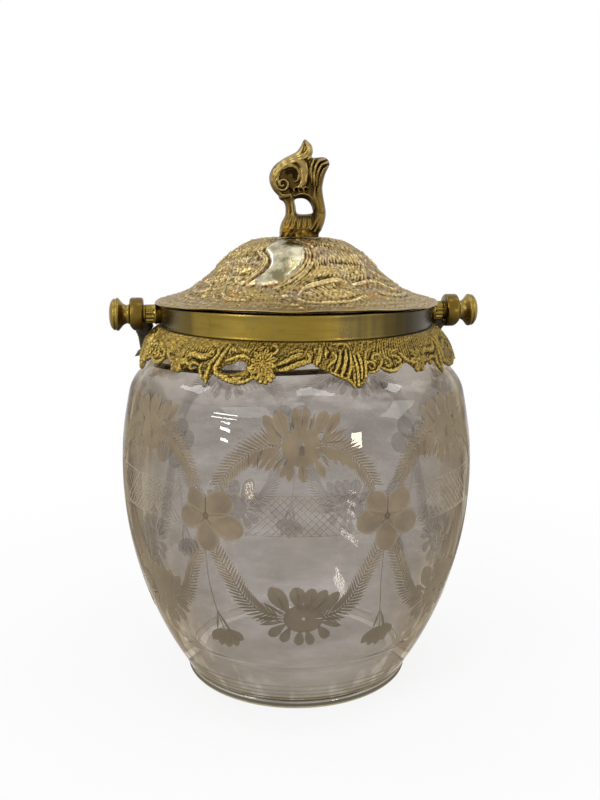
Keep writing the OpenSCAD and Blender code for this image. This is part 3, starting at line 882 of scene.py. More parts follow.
def blurred(grid, reach, wrap):
    """A grid of heights, evened out over `reach` cells each way; wrap joins its last column to its first."""
    for axis in (0, 1):
        pad = [(reach, reach) if a == axis else (0, 0) for a in (0, 1)]
        wide = np.pad(grid, pad, mode="wrap" if wrap and axis == 1 else "edge")
        total = np.cumsum(wide, axis=axis)
        total = np.insert(total, 0, 0, axis=axis)
        width = 2 * reach + 1
        grid = (np.take(total, range(width, total.shape[axis]), axis)
                - np.take(total, range(0, total.shape[axis] - width), axis)) / width
    return grid


def polar(points):
    """Plan places from (bearing, radius) pairs."""
    p = np.asarray(points, float)
    a = np.radians(p[:, 0])
    return np.stack([p[:, 1] * np.sin(a), -p[:, 1] * np.cos(a)], 1)


# ---------------------------------------------------------------- glass barrel
def barrel_profile():
    """From the middle of the punt out, up the outer face, over the rim, down inside to the floor's middle."""
    edge = 1.5
    turn = np.radians(np.linspace(0, 90, 9))
    foot = np.stack([FOOT_R - edge * (1 - np.sin(turn)), edge * (1 - np.cos(turn))], 1)
    groove = [(FOOT_R, FOOT_H - 0.7), (FOOT_R - 0.5, FOOT_H - 0.25), (FOOT_R - 0.7, FOOT_H),
              (FOOT_R - 0.5, FOOT_H + 0.4)]
    z = np.concatenate([np.linspace(FOOT_H + 0.8, SHOULDER_Z, 60),
                        np.linspace(SHOULDER_Z, NECK_BASE, 28)[1:]])
    wall = np.stack([glass_out(z) - FROST_ROOM, z], 1)
    rim = [(NECK_R - 0.1, NECK_TOP - 0.5), (NECK_R - 0.5, NECK_TOP - 0.05), (MOUTH_R + 0.5, NECK_TOP),
           (MOUTH_R, NECK_TOP - 0.5)]
    z = np.concatenate([np.linspace(NECK_BASE, SHOULDER_Z, 28),
                        np.linspace(SHOULDER_Z, FLOOR_Z + BOWL_RISE, 50)[1:]])
    bore = np.stack([glass_in(z), z], 1)
    turn = np.radians(np.linspace(90, 0, 24)[1:])
    z = FLOOR_Z + BOWL_RISE * (1 - np.cos(turn))
    fillet = np.stack([glass_in(z) - BOWL_REACH * (1 - np.sin(turn)), z], 1)
    r = np.linspace(0, PUNT_R, 20)
    under = np.stack([r, PUNT_H * (1 - (r / PUNT_R) ** 2) ** 2], 1)
    flat = [(20, FLOOR_Z), (0, FLOOR_Z)]
    return np.vstack([under, foot, groove, wall, rim, bore, fillet, flat])


def make_barrel(turning, material):
    """Turned glass. Its attribute "outer" is 1 on the outer face, which alone is tinted."""
    barrel = turned("jar_barrel", barrel_profile(), turning, 192)
    spots = np.array([v.co for v in barrel.data.vertices]) / MM
    r, z = np.hypot(spots[:, 0], spots[:, 1]), spots[:, 2]
    # Radius halfway through the wall, and 0 below the floor
    wall = np.where(z < FLOOR_Z - 0.5, 0, glass_in(np.clip(z, FLOOR_Z, NECK_BASE)) + 0.5 * GLASS_WALL)
    set_attribute(barrel, "outer", (r > wall) & (z < NECK_BASE) | (z < 0.5 * FLOOR_Z))
    return dressed(barrel, material, "jar", "glass_clear", "glass_barrel")


# ---------------------------------------------------------------- engraving
SECTORS = 7
SECTOR_BEARING = -5.3
SLIP = 2.2
SLIP_WIDTH = 12
# Arc length that stands for one radian of bearing while the pattern is flat
FLAT_R = 75.5
HALF_SECTOR = math.pi * FLAT_R / SECTORS


def upright(flat):
    """Flat places (across, up), stood up in the plane y = 0."""
    return np.stack([flat[:, 0], np.zeros(len(flat)), flat[:, 1]], 1)


class FlatPattern:
    """Flat faces (across, up) in millimetres, wound so that they face the front."""

    def __init__(self):
        self.points, self.faces, self.across = [], [], []

    def strip(self, centre, half, across=(0.5, 0.5, 0.5)):
        """A band along a curve; half is its half width at each place. across runs from 0 at a petal's edges
        to 1 along its middle, and is even on a plain band."""
        centre = np.asarray(centre, float)
        way = np.gradient(centre, axis=0)
        way /= np.maximum(np.linalg.norm(way, axis=1), 1e-9)[:, None]
        side = np.stack([-way[:, 1], way[:, 0]], 1) * np.broadcast_to(half, len(centre))[:, None]
        base = len(self.points)
        for p, s in zip(centre, side):
            self.points += [p - s, p, p + s]
            self.across += across
        for i in range(len(centre) - 1):
            for k in (0, 1):
                a = base + 3 * i + k
                self.faces.append((a, a + 3, a + 4, a + 1))

    def petal(self, root, tip, width, blunt):
        """A petal from its root to its tip. blunt near 1 gives a round end, 0 a pointed one."""
        t = np.linspace(0, 1, 8)
        share = np.sin(np.pi * np.clip(t, 0.02, 0.985) ** (1 + blunt)) ** (0.8 - 0.35 * blunt)
        root, tip = np.array(root, float), np.array(tip, float)
        self.strip(root + (tip - root) * t[:, None], width / 2 * np.maximum(share, 0.05), (0, 1, 0))

    def lobe(self, x, z, heading, reach, size):
        """A nearly round petal that reaches out from (x, z); heading is in degrees from up, clockwise."""
        t = np.array([0, 0.2, 0.4, 0.55, 0.7, 0.82, 0.92, 0.98, 1.0])
        mid = 1 - 0.5 * size / reach
        half = np.where(t < mid, 0.16 + 0.34 * np.sin(np.pi / 2 * t / mid) ** 1.5,
                        0.5 * np.sqrt(np.clip(1 - ((t - mid) / (1 - mid)) ** 2, 0.01, 1)))
        a = math.radians(heading)
        centre = np.stack([x + reach * t * math.sin(a), z + reach * t * math.cos(a)], 1)
        self.strip(centre, size * half, (0, 0.8, 0))

    def ring(self, x, z, inner, outer):
        """A flat oval ring; inner and outer are its half sizes (across, up)."""
        turn = np.radians(np.linspace(0, 360, 25))
        inner, outer = np.array(inner), np.array(outer)
        way = np.stack([np.cos(turn), np.sin(turn)], 1)
        middle = (inner + outer) / 2 * way + (x, z)
        self.strip(middle, np.linalg.norm((outer - inner) / 2 * way, axis=1))

    def line(self, points, width):
        self.strip(curve_through(points), width / 2)

    def straight(self, a, b, width, step=3.0):
        a, b = np.array(a, float), np.array(b, float)
        count = max(2, int(np.linalg.norm(b - a) / step) + 1)
        self.strip(a + (b - a) * np.linspace(0, 1, count)[:, None], width / 2)

    def made(self, name):
        thing = mesh_object(name, upright(np.array(self.points)), self.faces)
        set_attribute(thing, "across", self.across)
        return thing


# Petals of the two bouquets: root, tip, width, bluntness
UPPER_PETALS = [
    ((-6.6, 120), (-13.6, 129.2), 4.4, 0.9), ((-4, 120.6), (-8.9, 130.6), 5.9, 0.9), ((0.2, 121.2),
    (-1.9, 132), 4.3, 0.9), ((1.6, 121.4), (2.3, 132.4), 3.2, 0.9), ((3.6, 121.8), (5.8, 130.4), 1.2, 0.4),
    ((5.2, 121.4), (10.4, 130.7), 5.4, 0.9), ((8.6, 121.4), (15.4, 130), 4.3, 0.8), ((11, 121.4),
    (17.8, 124.2), 1.3, 0.3), ((9, 119.6), (17.6, 120.1), 0.5, 0.3), ((-3, 114.2), (-6.9, 107.2), 3, 0.3),
    ((-3, 114), (-4.1, 105.9), 3.2, 0.5), ((0.4, 113.4), (1.6, 105.4), 4, 0.6), ((4.8, 115.4), (9, 107.3),
    3.4, 0.8), ((-5.4, 115.6), (-9.6, 109.6), 2, 0.3), ((-7.2, 117.2), (-12.4, 109.4), 2.3, 0.3),
    ((-9.6, 117.9), (-14.6, 109.8), 2, 0.3), ((-12.6, 117.6), (-16.8, 110.4), 1.7, 0.3), ((-15.2, 116.8),
    (-18.6, 111), 1.4, 0.3), ((7, 117.2), (12.4, 113.6), 0.9, 0.3), ((7, 116.4), (11, 110.6), 1, 0.3),
    ((12, 117.6), (13.6, 111.4), 1.2, 0.3), ((14.4, 116.8), (16.4, 110.6), 1.2, 0.3),
]
LOWER_PETALS = [
    ((-4, 52), (-11.2, 63.6), 7, 0.6), ((0, 53), (-1.4, 63.9), 6.4, 0.9), ((2.4, 53), (5.2, 63.2), 5.6,
    0.9), ((4.4, 52), (10.4, 62.4), 5.4, 0.7), ((6.4, 51), (15.6, 61.2), 5, 0.6), ((-4.6, 51),
    (-14.2, 56.6), 1, 0.3), ((-5.8, 47.4), (-12.6, 41.4), 4.4, 1), ((-3.6, 45.8), (-7.6, 38.8), 4.4, 1),
    ((0.2, 44.6), (-0.4, 37), 4.6, 1), ((3, 45), (5.2, 37.4), 4.2, 1), ((7.4, 46.6), (12.2, 40.4), 4.6, 1),
    ((-6, 50.2), (-16.2, 53.4), 0.9, 0.3), ((-6, 49.6), (-17.4, 49.8), 1.2, 0.3), ((-6, 48.6), (-16, 46.4),
    1.4, 0.3), ((-6, 50.8), (-12.4, 55.8), 0.6, 0.3), ((7.6, 49.4), (18.4, 49.4), 1.2, 0.3), ((7.6, 48.6),
    (17.6, 45.6), 2.4, 0.5), ((8, 50.2), (17, 52.6), 1, 0.3),
]
# Petals of the bell, measured across from the edge between two sectors
BELL_PETALS = [
    ((1.8, 42), (-5, 35.2), 4.2, 0.6), ((2.4, 42), (-1, 33.2), 4.6, 0.6), ((3.2, 42), (3.2, 32.8), 4.6,
    0.6), ((4, 42), (7.4, 34.2), 4.6, 0.6), ((4.4, 42.4), (10.4, 37.8), 4.2, 0.6), ((1.4, 50), (5.6, 41),
    1.2, 0.3), ((1.2, 50), (-0.6, 41), 1, 0.3),
]


def bouquets(flat):
    """Two flowers with oval eyes, each in a fan of petals."""
    flat.ring(0.7, 118.0, (0.9, 1.8), (7.4, 7.0))
    for petal in UPPER_PETALS:
        flat.petal(*petal)
    flat.ring(1.6, 49.8, (0.5, 0.8), (8.2, 6.4))
    for petal in LOWER_PETALS:
        flat.petal(*petal)


def open_flower(flat):
    """Five nearly round petals, between two sectors, on a stem that ends in a bell."""
    x, z = HALF_SECTOR, 90.0
    for heading, reach, size in [(-37, 12.0, 9.8), (44, 13.0, 10.8), (110, 14.6, 10.8), (178, 13.6, 10.4),
                                 (-98, 12.8, 10.2)]:
        flat.lobe(x, z, heading, reach, size)
    flat.line([(x + 0.1, 91.6), (x + 0.2, 97.6)], 0.35)
    flat.line([(x - 0.8, 78.5), (x - 0.6, 64), (x + 1.2, 50), (x + 3.0, 41)], 0.3)
    for root, tip, width, blunt in BELL_PETALS:
        flat.petal((x + root[0], root[1]), (x + tip[0], tip[1]), width, blunt)


def lattice(flat):
    """Diamond hatching between thin lines."""
    low, high, pitch, reach = 84.8, 100.2, 2.9, 25.0
    for z, width in ((low, 0.2), (low + 0.8, 0.12), (high, 0.16)):
        flat.straight((-HALF_SECTOR, z), (HALF_SECTOR, z), width)
    lean = high - low
    for k in range(-14, 15):
        x = k * pitch
        for side in (1, -1):
            a, b = x - side * lean / 2, x + side * lean / 2
            if max(abs(a), abs(b)) < reach:
                flat.straight((a, low), (b, high), 0.22, 5.0)


# Stems of the right-hand ferns, each with its leaflet pairs and its first leaflet's length
FERN_STEMS = [
    ([(6.8, 119.2), (11.6, 118.6), (16.6, 116.6), (21, 113.2), (24.6, 109.2), (28.2, 103.4)], 22, 7.6),
    ([(9, 50.6), (15, 52.4), (20.4, 57.4), (24.4, 65), (30, 76.5)], 24, 6.6),
]


def leaf_object():
    """One leaflet, 1 mm long along +X, lying flat."""
    t = np.array([0, 0.3, 0.65, 1.0])
    half = np.array([0.03, 0.075, 0.07, 0.012])
    flat = FlatPattern()
    flat.strip(np.stack([t, 0 * t], 1), half, (0, 0.9, 0))
    return flat.made("leaflet")


def fern_tree():
    """Leaflets in pairs along a flat stem, from its start to its end."""
    g, given, result = new_tree(
        "fern_spray",
        "GeometryNodeTree",
        [("Stem", "Geometry"), ("Leaflet", "Object"), ("Pairs", "Int", 22), ("First length", "Float", 6.0),
         ("Last length", "Float", 3.5), ("Lean", "Float", 0.8), ("Finish", "Material")],
        [("Spray", "Geometry")],
    )
    curve = g.made("GeometryNodeMeshToCurve", given["Stem"])
    points = g.made("GeometryNodeResampleCurve", Curve=curve, Count=given["Pairs"])
    share = g.add("GeometryNodeSplineParameter").outputs["Factor"]
    size = g.ramp(share, 0, 1, given["First length"], given["Last length"])
    way = g.split(g.made("GeometryNodeInputTangent"))
    heading = g.math("ARCTAN2", way[2], way[0])
    leaflet = g.add("GeometryNodeObjectInfo", given["Leaflet"]).outputs["Geometry"]
    scale = g.vector(size, size, size)
    sides = []
    for side in (1, -1):
        turn = g.times(g.math("MULTIPLY_ADD", given["Lean"], side, heading), -1)
        rotation = g.made("FunctionNodeEulerToRotation", g.vector(0, turn, 0))
        sides.append(g.made("GeometryNodeInstanceOnPoints", Points=points, Instance=leaflet,
                            Rotation=rotation, Scale=scale))
    g.finish(result["Spray"], g.together(*sides), given["Finish"])
    return g.tree


def wrapping_tree():
    """Repeats a flat pattern round the barrel, lays it on the glass and gives it a little depth."""
    g, given, result = new_tree(
        "engraved_round",
        "GeometryNodeTree",
        [("Pattern", "Geometry"), ("Barrel", "Object"), ("Repeats", "Int", 7), ("Bearing", "Float"),
         ("Flat radius", "Float", 0.0755), ("Lift", "Float", 0.00002), ("Depth", "Float", 0.0001),
         ("Slip", "Float"), ("Slip bearing", "Float"), ("Slip width", "Float", 0.2), ("Finish", "Material")],
        [("Engraving", "Geometry")],
    )
    step = g.math("DIVIDE", g.times(given["Flat radius"], math.tau), given["Repeats"])
    places = g.made("GeometryNodeMeshLine", Count=given["Repeats"], Offset=g.vector(step, 0, 0))
    copies = g.made("GeometryNodeInstanceOnPoints", Points=places, Instance=given["Pattern"])
    flat = g.made("GeometryNodeRealizeInstances", copies)
    spot = g.split(g.made("GeometryNodeInputPosition"))
    angle = g.math("ADD", g.math("DIVIDE", spot[0], given["Flat radius"]), given["Bearing"])
    off = g.math("SINE", g.times(g.math("SUBTRACT", angle, given["Slip bearing"]), 0.5))
    off = g.math("DIVIDE", g.times(off, 2), given["Slip width"])
    near = g.math("EXPONENT", g.times(off, off, -1))
    angle = g.math("MULTIPLY_ADD", near, given["Slip"], angle)
    sine, cosine = g.math("SINE", angle), g.math("COSINE", angle)
    # A ray runs from well outside the barrel straight in to its axis
    far = 0.2
    start = g.vector(g.times(sine, far), g.times(cosine, -far), spot[2])
    inward = g.vector(g.times(sine, -1), cosine, 0)
    target = g.add("GeometryNodeObjectInfo", given["Barrel"]).outputs["Geometry"]
    hit = g.add("GeometryNodeRaycast", Target_Geometry=target, Source_Position=start, Ray_Direction=inward,
                Ray_Length=2 * far).outputs
    lifted = g.made("ShaderNodeVectorMath", hit["Hit Normal"], operation="SCALE", Scale=given["Lift"])
    laid = g.moved(flat, g.made("ShaderNodeVectorMath", hit["Hit Position"], lifted, operation="ADD"))
    risen = g.made("GeometryNodeExtrudeMesh", mode="FACES", Mesh=laid, Offset_Scale=given["Depth"],
                   Individual=False)
    back = g.made("GeometryNodeFlipFaces", laid)
    back = g.made("GeometryNodeStoreNamedAttribute", domain="FACE", data_type="FLOAT", Geometry=back,
                  Name="inner", Value=1.0)
    whole = g.merged(g.together(risen, back), 1e-6)
    crisp = g.made("GeometryNodeSetShadeSmooth", Geometry=whole, Shade_Smooth=False)
    g.finish(result["Engraving"], crisp, given["Finish"])
    return g.tree


def engrave(name, pattern, tree, barrel, material, lift, depth):
    """Wraps a flat pattern round the barrel. The open flower left of the front slips a little to the left."""
    run_tree(pattern, tree, barrel=barrel, repeats=SECTORS, bearing=math.radians(SECTOR_BEARING),
             flat_radius=FLAT_R * MM, lift=lift * MM, depth=depth * MM, slip=-math.radians(SLIP),
             slip_bearing=math.radians(SECTOR_BEARING - 180 / SECTORS), slip_width=math.radians(SLIP_WIDTH))
    pattern.name = pattern.data.name = name
    return dressed(pattern, material, "jar", "glass_clear")


# Deepest cuts: two ends and a width
DEEP_CUTS = [
    ((-9.2, 124.2), (-6.7, 121.4), 0.8), ((-14.6, 125.2), (-12.9, 123.1), 0.4), ((-13.6, 117.5),
    (-14.6, 114.4), 0.7), ((-9.7, 110.2), (-6.7, 113.9), 0.4), ((-4.5, 113.9), (-5.9, 111.6), 0.7),
    ((-18.3, 115.4), (-18.3, 110.7), 0.5), ((-15.1, 116.3), (-15.1, 109.7), 0.5), ((8.2, 119.8),
    (17.6, 120), 0.3), ((11.1, 121.9), (14.6, 124.2), 0.3), ((7.2, 123.5), (9.2, 123.3), 0.4),
    ((6.2, 115.4), (7.4, 113.9), 0.4), ((-19, 117.5), (-16.6, 117.5), 0.4), ((-8.5, 59.8), (-5.9, 53.4),
    0.8), ((-0.8, 60.9), (-0.3, 57.1), 0.6), ((-11, 49.6), (-6.4, 48), 0.5), ((2.3, 42.5), (4.4, 44.7),
    0.4), ((4.8, 60), (4.4, 55.4), 0.5), ((9.4, 58), (6.6, 53.8), 0.6), ((-6.4, 43.4), (-3.6, 46.6), 0.5),
    ((-12.4, 119.4), (-8.6, 118.6), 0.4), ((1, 129), (0.6, 124.6), 0.5), ((-3.2, 129.4), (-2.2, 124.8),
    0.5), ((4.6, 128.6), (3.6, 124.2), 0.5), ((1.2, 108), (0.8, 111.4), 0.5), ((10.6, 112.6), (8.4, 115.4),
    0.4), ((12.8, 126.6), (10.2, 122.8), 0.5), ((-11.2, 127.4), (-8.2, 122.6), 0.4),
]


def deep_cuts(flat):
    """The darkest lines between petals, and the flowers' eyes."""
    t = np.linspace(0, 1, 6)
    share = np.maximum(np.sin(np.pi * np.clip(t, 0.03, 0.97)), 0.1)
    for a, b, width in DEEP_CUTS:
        way = np.array(b) - np.array(a)
        flat.strip(np.array(a) + way * t[:, None], width / 2 * share)
    flat.ring(0.7, 117.0, (0.05, 0.1), (0.9, 1.9))
    flat.ring(HALF_SECTOR + 0.1, 90.3, (0.35, 0.35), (1.3, 1.5))
    flat.line([(HALF_SECTOR + 0.1, 91.6), (HALF_SECTOR + 0.2, 97.6)], 0.5)
    for heading in (75, 143, -140, -62):
        a = math.radians(heading)
        way = np.array([math.sin(a), math.cos(a)])
        start = np.array([HALF_SECTOR, 90.2]) + 1.4 * way
        flat.straight(start, start + 2.6 * way, 0.22)


def fern_sprays():
    """Four sprays of a sector, with the ribs that they grow from."""
    tree, leaflet = fern_tree(), leaf_object()
    sprays = []
    for stem, pairs, first in FERN_STEMS:
        for side in (1, -1):
            points = curve_through([(side * x, z) for x, z in stem], 8)
            spray = chain_object("spray", upright(points))
            run_tree(spray, tree, leaflet=leaflet, pairs=pairs, first_length=first, last_length=4.4,
                     lean=math.radians(46))
            rib = FlatPattern()
            rib.strip(points, 0.2)
            sprays += [spray, rib.made("rib")]
    bpy.data.objects.remove(leaflet)
    return joined("ferns", sprays)


def make_engraving(barrel, frost, fine, deep):
    """Four thin pieces on the glass, each with its own lift and depth."""
    tree = wrapping_tree()
    for name, drawings, material, lift, depth in [("flowers", (bouquets, open_flower), frost, 0.02, 0.11),
                                                  ("lattice", (lattice,), fine, 0.03, 0.06),
                                                  ("deep_cuts", (deep_cuts,), deep, 0.1, 0.05)]:
        flat = FlatPattern()
        for draw in drawings:
            draw(flat)
        engrave(f"engraved_{name}", flat.made(name), tree, barrel, material, lift, depth)
    engrave("engraved_ferns", fern_sprays(), tree, barrel, frost, 0.025, 0.1)


# ---------------------------------------------------------------- collar, bosses and knobs
def front_lift(bearing):
    """How far round the front a bearing in radians is: 1 where the band and the lid's brim stand highest."""
    # The highest place is 10 degrees to the left of the front
    from_front = (np.degrees(bearing) + 190) % 360 - 180
    return np.exp(-((from_front / 55) ** 4))


def make_collar(turning, material):
    """Plain band with a lip over the rim. Its top edge rises a little round the front."""
    inner, spigot, level_r = COLLAR_R - 1.3, COLLAR_R - 0.6, 55.5
    lip_r, lip_z = MOUTH_R + 0.6, COLLAR_TOP - 1.1
    profile = [(inner, MOUNT_BASE), (spigot, MOUNT_BASE), (spigot, SKIRT_TOP - 0.02),
               (COLLAR_R - 0.12, SKIRT_TOP), (COLLAR_R, SKIRT_TOP + 0.15), (COLLAR_R, SKIRT_TOP + 0.6),
               (COLLAR_R - 0.08, SKIRT_TOP + 0.9)]
    profile += [(COLLAR_R - 0.08, z) for z in np.linspace(SKIRT_TOP + 1.2, COLLAR_TOP - 1.3, 6)]
    profile += [(COLLAR_R, COLLAR_TOP - 1.0), (COLLAR_R, COLLAR_TOP - 0.4),
                (COLLAR_R - 0.15, COLLAR_TOP - 0.1), (COLLAR_R - 0.5, COLLAR_TOP), (lip_r + 0.3, COLLAR_TOP),
                (lip_r, COLLAR_TOP - 0.3), (lip_r, lip_z), (inner, lip_z), (inner, MOUNT_BASE)]
    collar = turned("collar", profile, turning, 256)
    for v in collar.data.vertices:
        x, y, z = np.array(v.co) / MM
        outer = np.clip((math.hypot(x, y) - level_r) / 1.5, 0, 1)
        outer *= np.clip((z - SKIRT_TOP - 2) / (COLLAR_TOP - SKIRT_TOP - 2), 0, 1)
        v.co.z += COLLAR_LIFT * MM * outer * front_lift(math.atan2(x, -y))
    return dressed(collar, material, "jar", "collar_brass", "collar_band")


def on_pivot(kind, form, side, profile, turning, material, segments, flutes=0):
    """A turned boss or knob on the pivots' axis, to the right (1) or left (-1)."""
    node = f"{kind}_{'right' if side > 0 else 'left'}"
    piece = placed(turned(f"{node}_{form}", profile, turning, segments, flutes), pivot_matrix(side))
    return dressed(piece, material, "jar", "pivot_brass", node)


def make_boss(side, turning, material):
    """Fluted tube between collar and bail, on a plain root flange."""
    root, end = COLLAR_R - 1.4, washer_low.x
    profile = [(0, 0, root), (4.1, 0, root), (4.1, 0, COLLAR_R + 1.5), (4.35, 0, COLLAR_R + 1.9),
               (4.35, 0, COLLAR_R + 2.3), (4.0, 0, COLLAR_R + 2.6), (3.95, 0.1, COLLAR_R + 2.8)]
    profile += [(4.0, 0.62, z) for z in np.linspace(COLLAR_R + 3.0, end - 0.3, 5)]
    profile += [(3.8, 0.5, end), (0, 0, end)]
    return on_pivot("boss", "fluted", side, profile, turning, material, 144, 12)


def make_knob(side, turning, material):
    """Turned knob: neck, flare, groove and domed end, with its shank through the bail's eye."""
    n, wide, narrow, shank_end = KNOB_LEN, 6.9, 4.0, washer_low.x - SHANK_DEPTH
    flare = curve_through([(narrow + 0.2, 0.35), (narrow - 0.1, 0.14 * n), (narrow + 0.7, 0.33 * n),
                           (wide - 0.25, 0.52 * n), (wide, 0.585 * n)], 6)
    groove = [(wide - 0.02, 0.62 * n), (wide - 0.12, 0.65 * n), (wide - 0.4, 0.67 * n),
              (wide - 0.5, 0.69 * n), (wide - 0.4, 0.715 * n), (wide - 0.28, 0.73 * n)]
    dome = curve_through([(wide - 0.25, 0.75 * n), (wide - 0.7, 0.82 * n), (wide - 2.0, 0.92 * n),
                          (wide - 4.2, 0.98 * n), (0.05, n)], 6)
    above = np.vstack([[(narrow, 0.0)], flare, groove, dome, [(0, n)]])
    above[:, 1] += KNOB_IN
    profile = np.vstack([[(0, shank_end), (SHANK_R - 0.3, shank_end), (SHANK_R, shank_end + 0.3),
                          (SHANK_R, KNOB_IN)], above])
    return on_pivot("knob", "turned", side, profile, turning, material, 96)


# ---------------------------------------------------------------- lid
LID_COLUMNS = 672
# The inner face has fewer columns, because it is plain
LID_INNER_COLUMNS = 96
# Radii: where the stamped work starts, where the brim starts, and the hole for the finial's stud
LID_WORK_R, LID_BRIM_R, LID_HOLE_R = 8.2, 46, 2.1
# Edge of the inner face, and of the flat on which the lid stands
LID_INNER_R = 57.2
# The ground between the stamped strokes lies this far below the plain face
LID_SINK = 0.72
# Beads: bearing and radius
LID_BEADS = [
    (28, 42.4), (-38, 36.6), (-6, 43.4), (44, 34.6), (90, 30.6), (-52, 46.4),
]
# Each stroke of the stamped lid: (bearing, radius) places, half width, height, and how it is drawn
LID_SCROLLS = [
    ([(2, 20), (8, 22.2), (11, 25.6), (9, 29.6), (4, 33.2), (-3, 36.2), (-9, 38.6), (-13, 40.4)], 1.5, 1.5,
     dict(taper=(0.3, 0.3), centre=0.7)),
    ([(4, 17.5), (12, 19.5), (17, 23), (15.5, 27.4), (11, 31.2), (5, 34.6), (-2, 38.2)], 0.8, 1, {}),
    ([(-13, 16.5), (-24, 19), (-33, 22.5), (-35, 25.4), (-30, 27.2), (-24.5, 29), (-24.5, 31.8),
     (-28, 34.8), (-33, 38.2), (-36, 41)], 1.3, 1.5, dict(taper=(0.25, 0.3), centre=0.6)),
    ([(-28, 33.2), (-35, 32.8), (-40, 34.6), (-40, 37.4), (-35.5, 38.4), (-33, 36.9)], 0.9, 1, {}),
    ([(-44, 40.6), (-41, 43.8), (-36.5, 45.8), (-31, 46.6), (-24, 46.4)], 1.1, 1.1, dict(centre=0.5)),
    ([(-49, 40.8), (-48, 43.6), (-45, 46), (-40, 48.4)], 0.7, 0.7, {}),
    ([(-84, 41.2), (-76, 43.6), (-68, 44.6), (-60, 44.2), (-56.5, 42.2), (-60, 40.3), (-65, 40.8)], 1.1,
     1.1, dict(centre=0.5)),
    ([(-77, 46.4), (-70, 48.2), (-61, 48.8), (-52, 48.4)], 0.8, 0.7, {}),
    ([(1, 42.8), (3.5, 40.4), (8, 38.9), (14, 37.9), (21, 37), (27, 37), (32, 38.2)], 1.2, 1.5,
     dict(centre=0.5)),
    ([(0, 44), (3, 46.2), (10, 47.4), (19, 47.6), (29, 46.6), (36, 44.6)], 1, 0.9, {}),
    ([(34, 39), (42, 38.6), (50, 38.2), (57, 39.2)], 1, 1, {}),
    ([(49, 37.6), (47.5, 41.2), (52, 44), (59, 46), (67, 47), (76, 47)], 1.5, 1.2, dict(centre=0.6)),
    ([(56, 37.5), (62, 41.5), (70, 43.6), (80, 43.6)], 1, 0.9, {}),
    ([(60, 33.5), (66, 36.5), (74, 38.6), (84, 39), (92, 37.4)], 1.1, 1.1, dict(centre=0.5)),
    ([(74, 31), (82, 33.6), (91, 33.4), (95, 30.4), (90, 28), (84, 29.4)], 1, 1.2, {}),
    ([(-60, 23), (-70, 26.5), (-80, 28), (-88, 26)], 1.1, 1, dict(centre=0.5)),
    ([(98, 40.5), (92, 43.2), (86, 42), (84, 39.6)], 1, 1, {}),
]
LID_LEAVES = [
    ([(-42, 33.5), (-52, 31.8), (-62, 32.4), (-72, 35.6)], 2.6, 1, 7),
    ([(-50, 27), (-60, 29.5), (-70, 31.6), (-80, 34.6)], 2.2, 0.9, 6),
    ([(-50, 36.4), (-60, 37.8), (-70, 39), (-79, 41)], 2.2, 0.9, 6),
    ([(66, 27), (72, 31), (79, 35.6), (88, 40)], 2.3, 1, 7),
    ([(40, 41), (46, 45.4), (54, 48.4), (64, 50)], 1.8, 0.8, 6),
    ([(96, 24), (92, 20), (84, 17), (74, 16)], 2, 0.9, 5),
]
# Rows of side-by-side feathers: tops, bottoms, count, half width, height
LID_FEATHERS = [
    ([(17, 22.6), (26, 22.4), (33, 23.8), (41, 25.4), (50, 26.8), (60, 28.2)], [(14, 31.8), (21, 30.9),
     (29, 30.2), (38, 30.6), (47, 31.2), (57, 32.4)], 17, 0.8, 0.95),
    ([(19, 31.6), (28, 31), (37, 31.4), (47, 31.9), (57, 33.2)], [(7, 35.2), (15, 35.2), (23, 35.4),
     (31, 36), (39, 36.8), (47, 37.8)], 17, 0.75, 0.85),
    ([(-36, 17), (-48, 17.5), (-60, 19), (-72, 21)], [(-38, 25.2), (-48, 26.4), (-60, 28.2), (-73, 30)], 17,
     0.65, 0.75),
    ([(-40, 28.2), (-46, 28.6), (-53, 29.4)], [(-44, 33.6), (-52, 33.2), (-60, 33.8)], 8, 0.6, 0.8),
    ([(4, 41.6), (9, 40.2), (15, 39), (22, 38.4)], [(9, 43.4), (13, 42), (18, 40.6), (23, 39.8)], 9, 0.5,
     0.9),
    ([(24, 15), (40, 15), (56, 16), (68, 18)], [(22, 20.6), (34, 21.6), (48, 23.8), (60, 26.2)], 13, 0.7,
     0.7),
    ([(-10, 10.4), (20, 10.4), (50, 10.4), (80, 10.4), (110, 10.4), (140, 10.4), (170, 10.4)], [(-10, 15),
     (20, 15), (50, 15), (80, 15), (110, 15), (140, 15), (170, 15)], 15, 0.95, 0.6),
    ([(-56, 34.6), (-66, 36), (-76, 38.2), (-86, 40)], [(-52, 38.6), (-62, 40.2), (-72, 41.8), (-82, 43.4)],
     11, 0.5, 0.6),
]
# Long low waves that flow along the brim
LID_WAVES = [
    [(-92, 49.5), (-72, 50.6), (-52, 51.4), (-32, 50.4), (-14, 49.2), (4, 50.2)],
    [(-84, 53.4), (-62, 54.8), (-40, 54.2), (-20, 52.4), (0, 53), (18, 55)],
    [(-44, 47.6), (-28, 49), (-10, 47.2), (6, 49.6), (24, 52.4), (42, 53.2)],
    [(10, 52.4), (30, 50.4), (50, 51.6), (70, 54), (88, 54.6)],
    [(-30, 56.2), (-10, 55.6), (12, 57.4), (34, 56), (56, 56.6), (78, 57.2)],
    [(62, 49.2), (76, 50.6), (92, 52.4), (106, 51.2)],
    [(-104, 56.6), (-84, 57.2), (-64, 56.8), (-46, 57.4)],
    [(84, 46.4), (94, 48.6), (104, 47.4), (112, 45)],
]
# The plain polished drop on the front of the dome
LID_DROP = [
    (-11, 15.5), (3, 18.6), (7.5, 22.4), (8.5, 25.6), (6.5, 29.4), (2.5, 32.8), (-4, 36), (-11, 38.2),
    (-20, 39), (-27, 38.8), (-31, 40.2), (-27, 36.4), (-22, 33.6), (-20, 30.8), (-23, 28), (-29, 25.8),
    (-31, 23), (-24, 18),
]
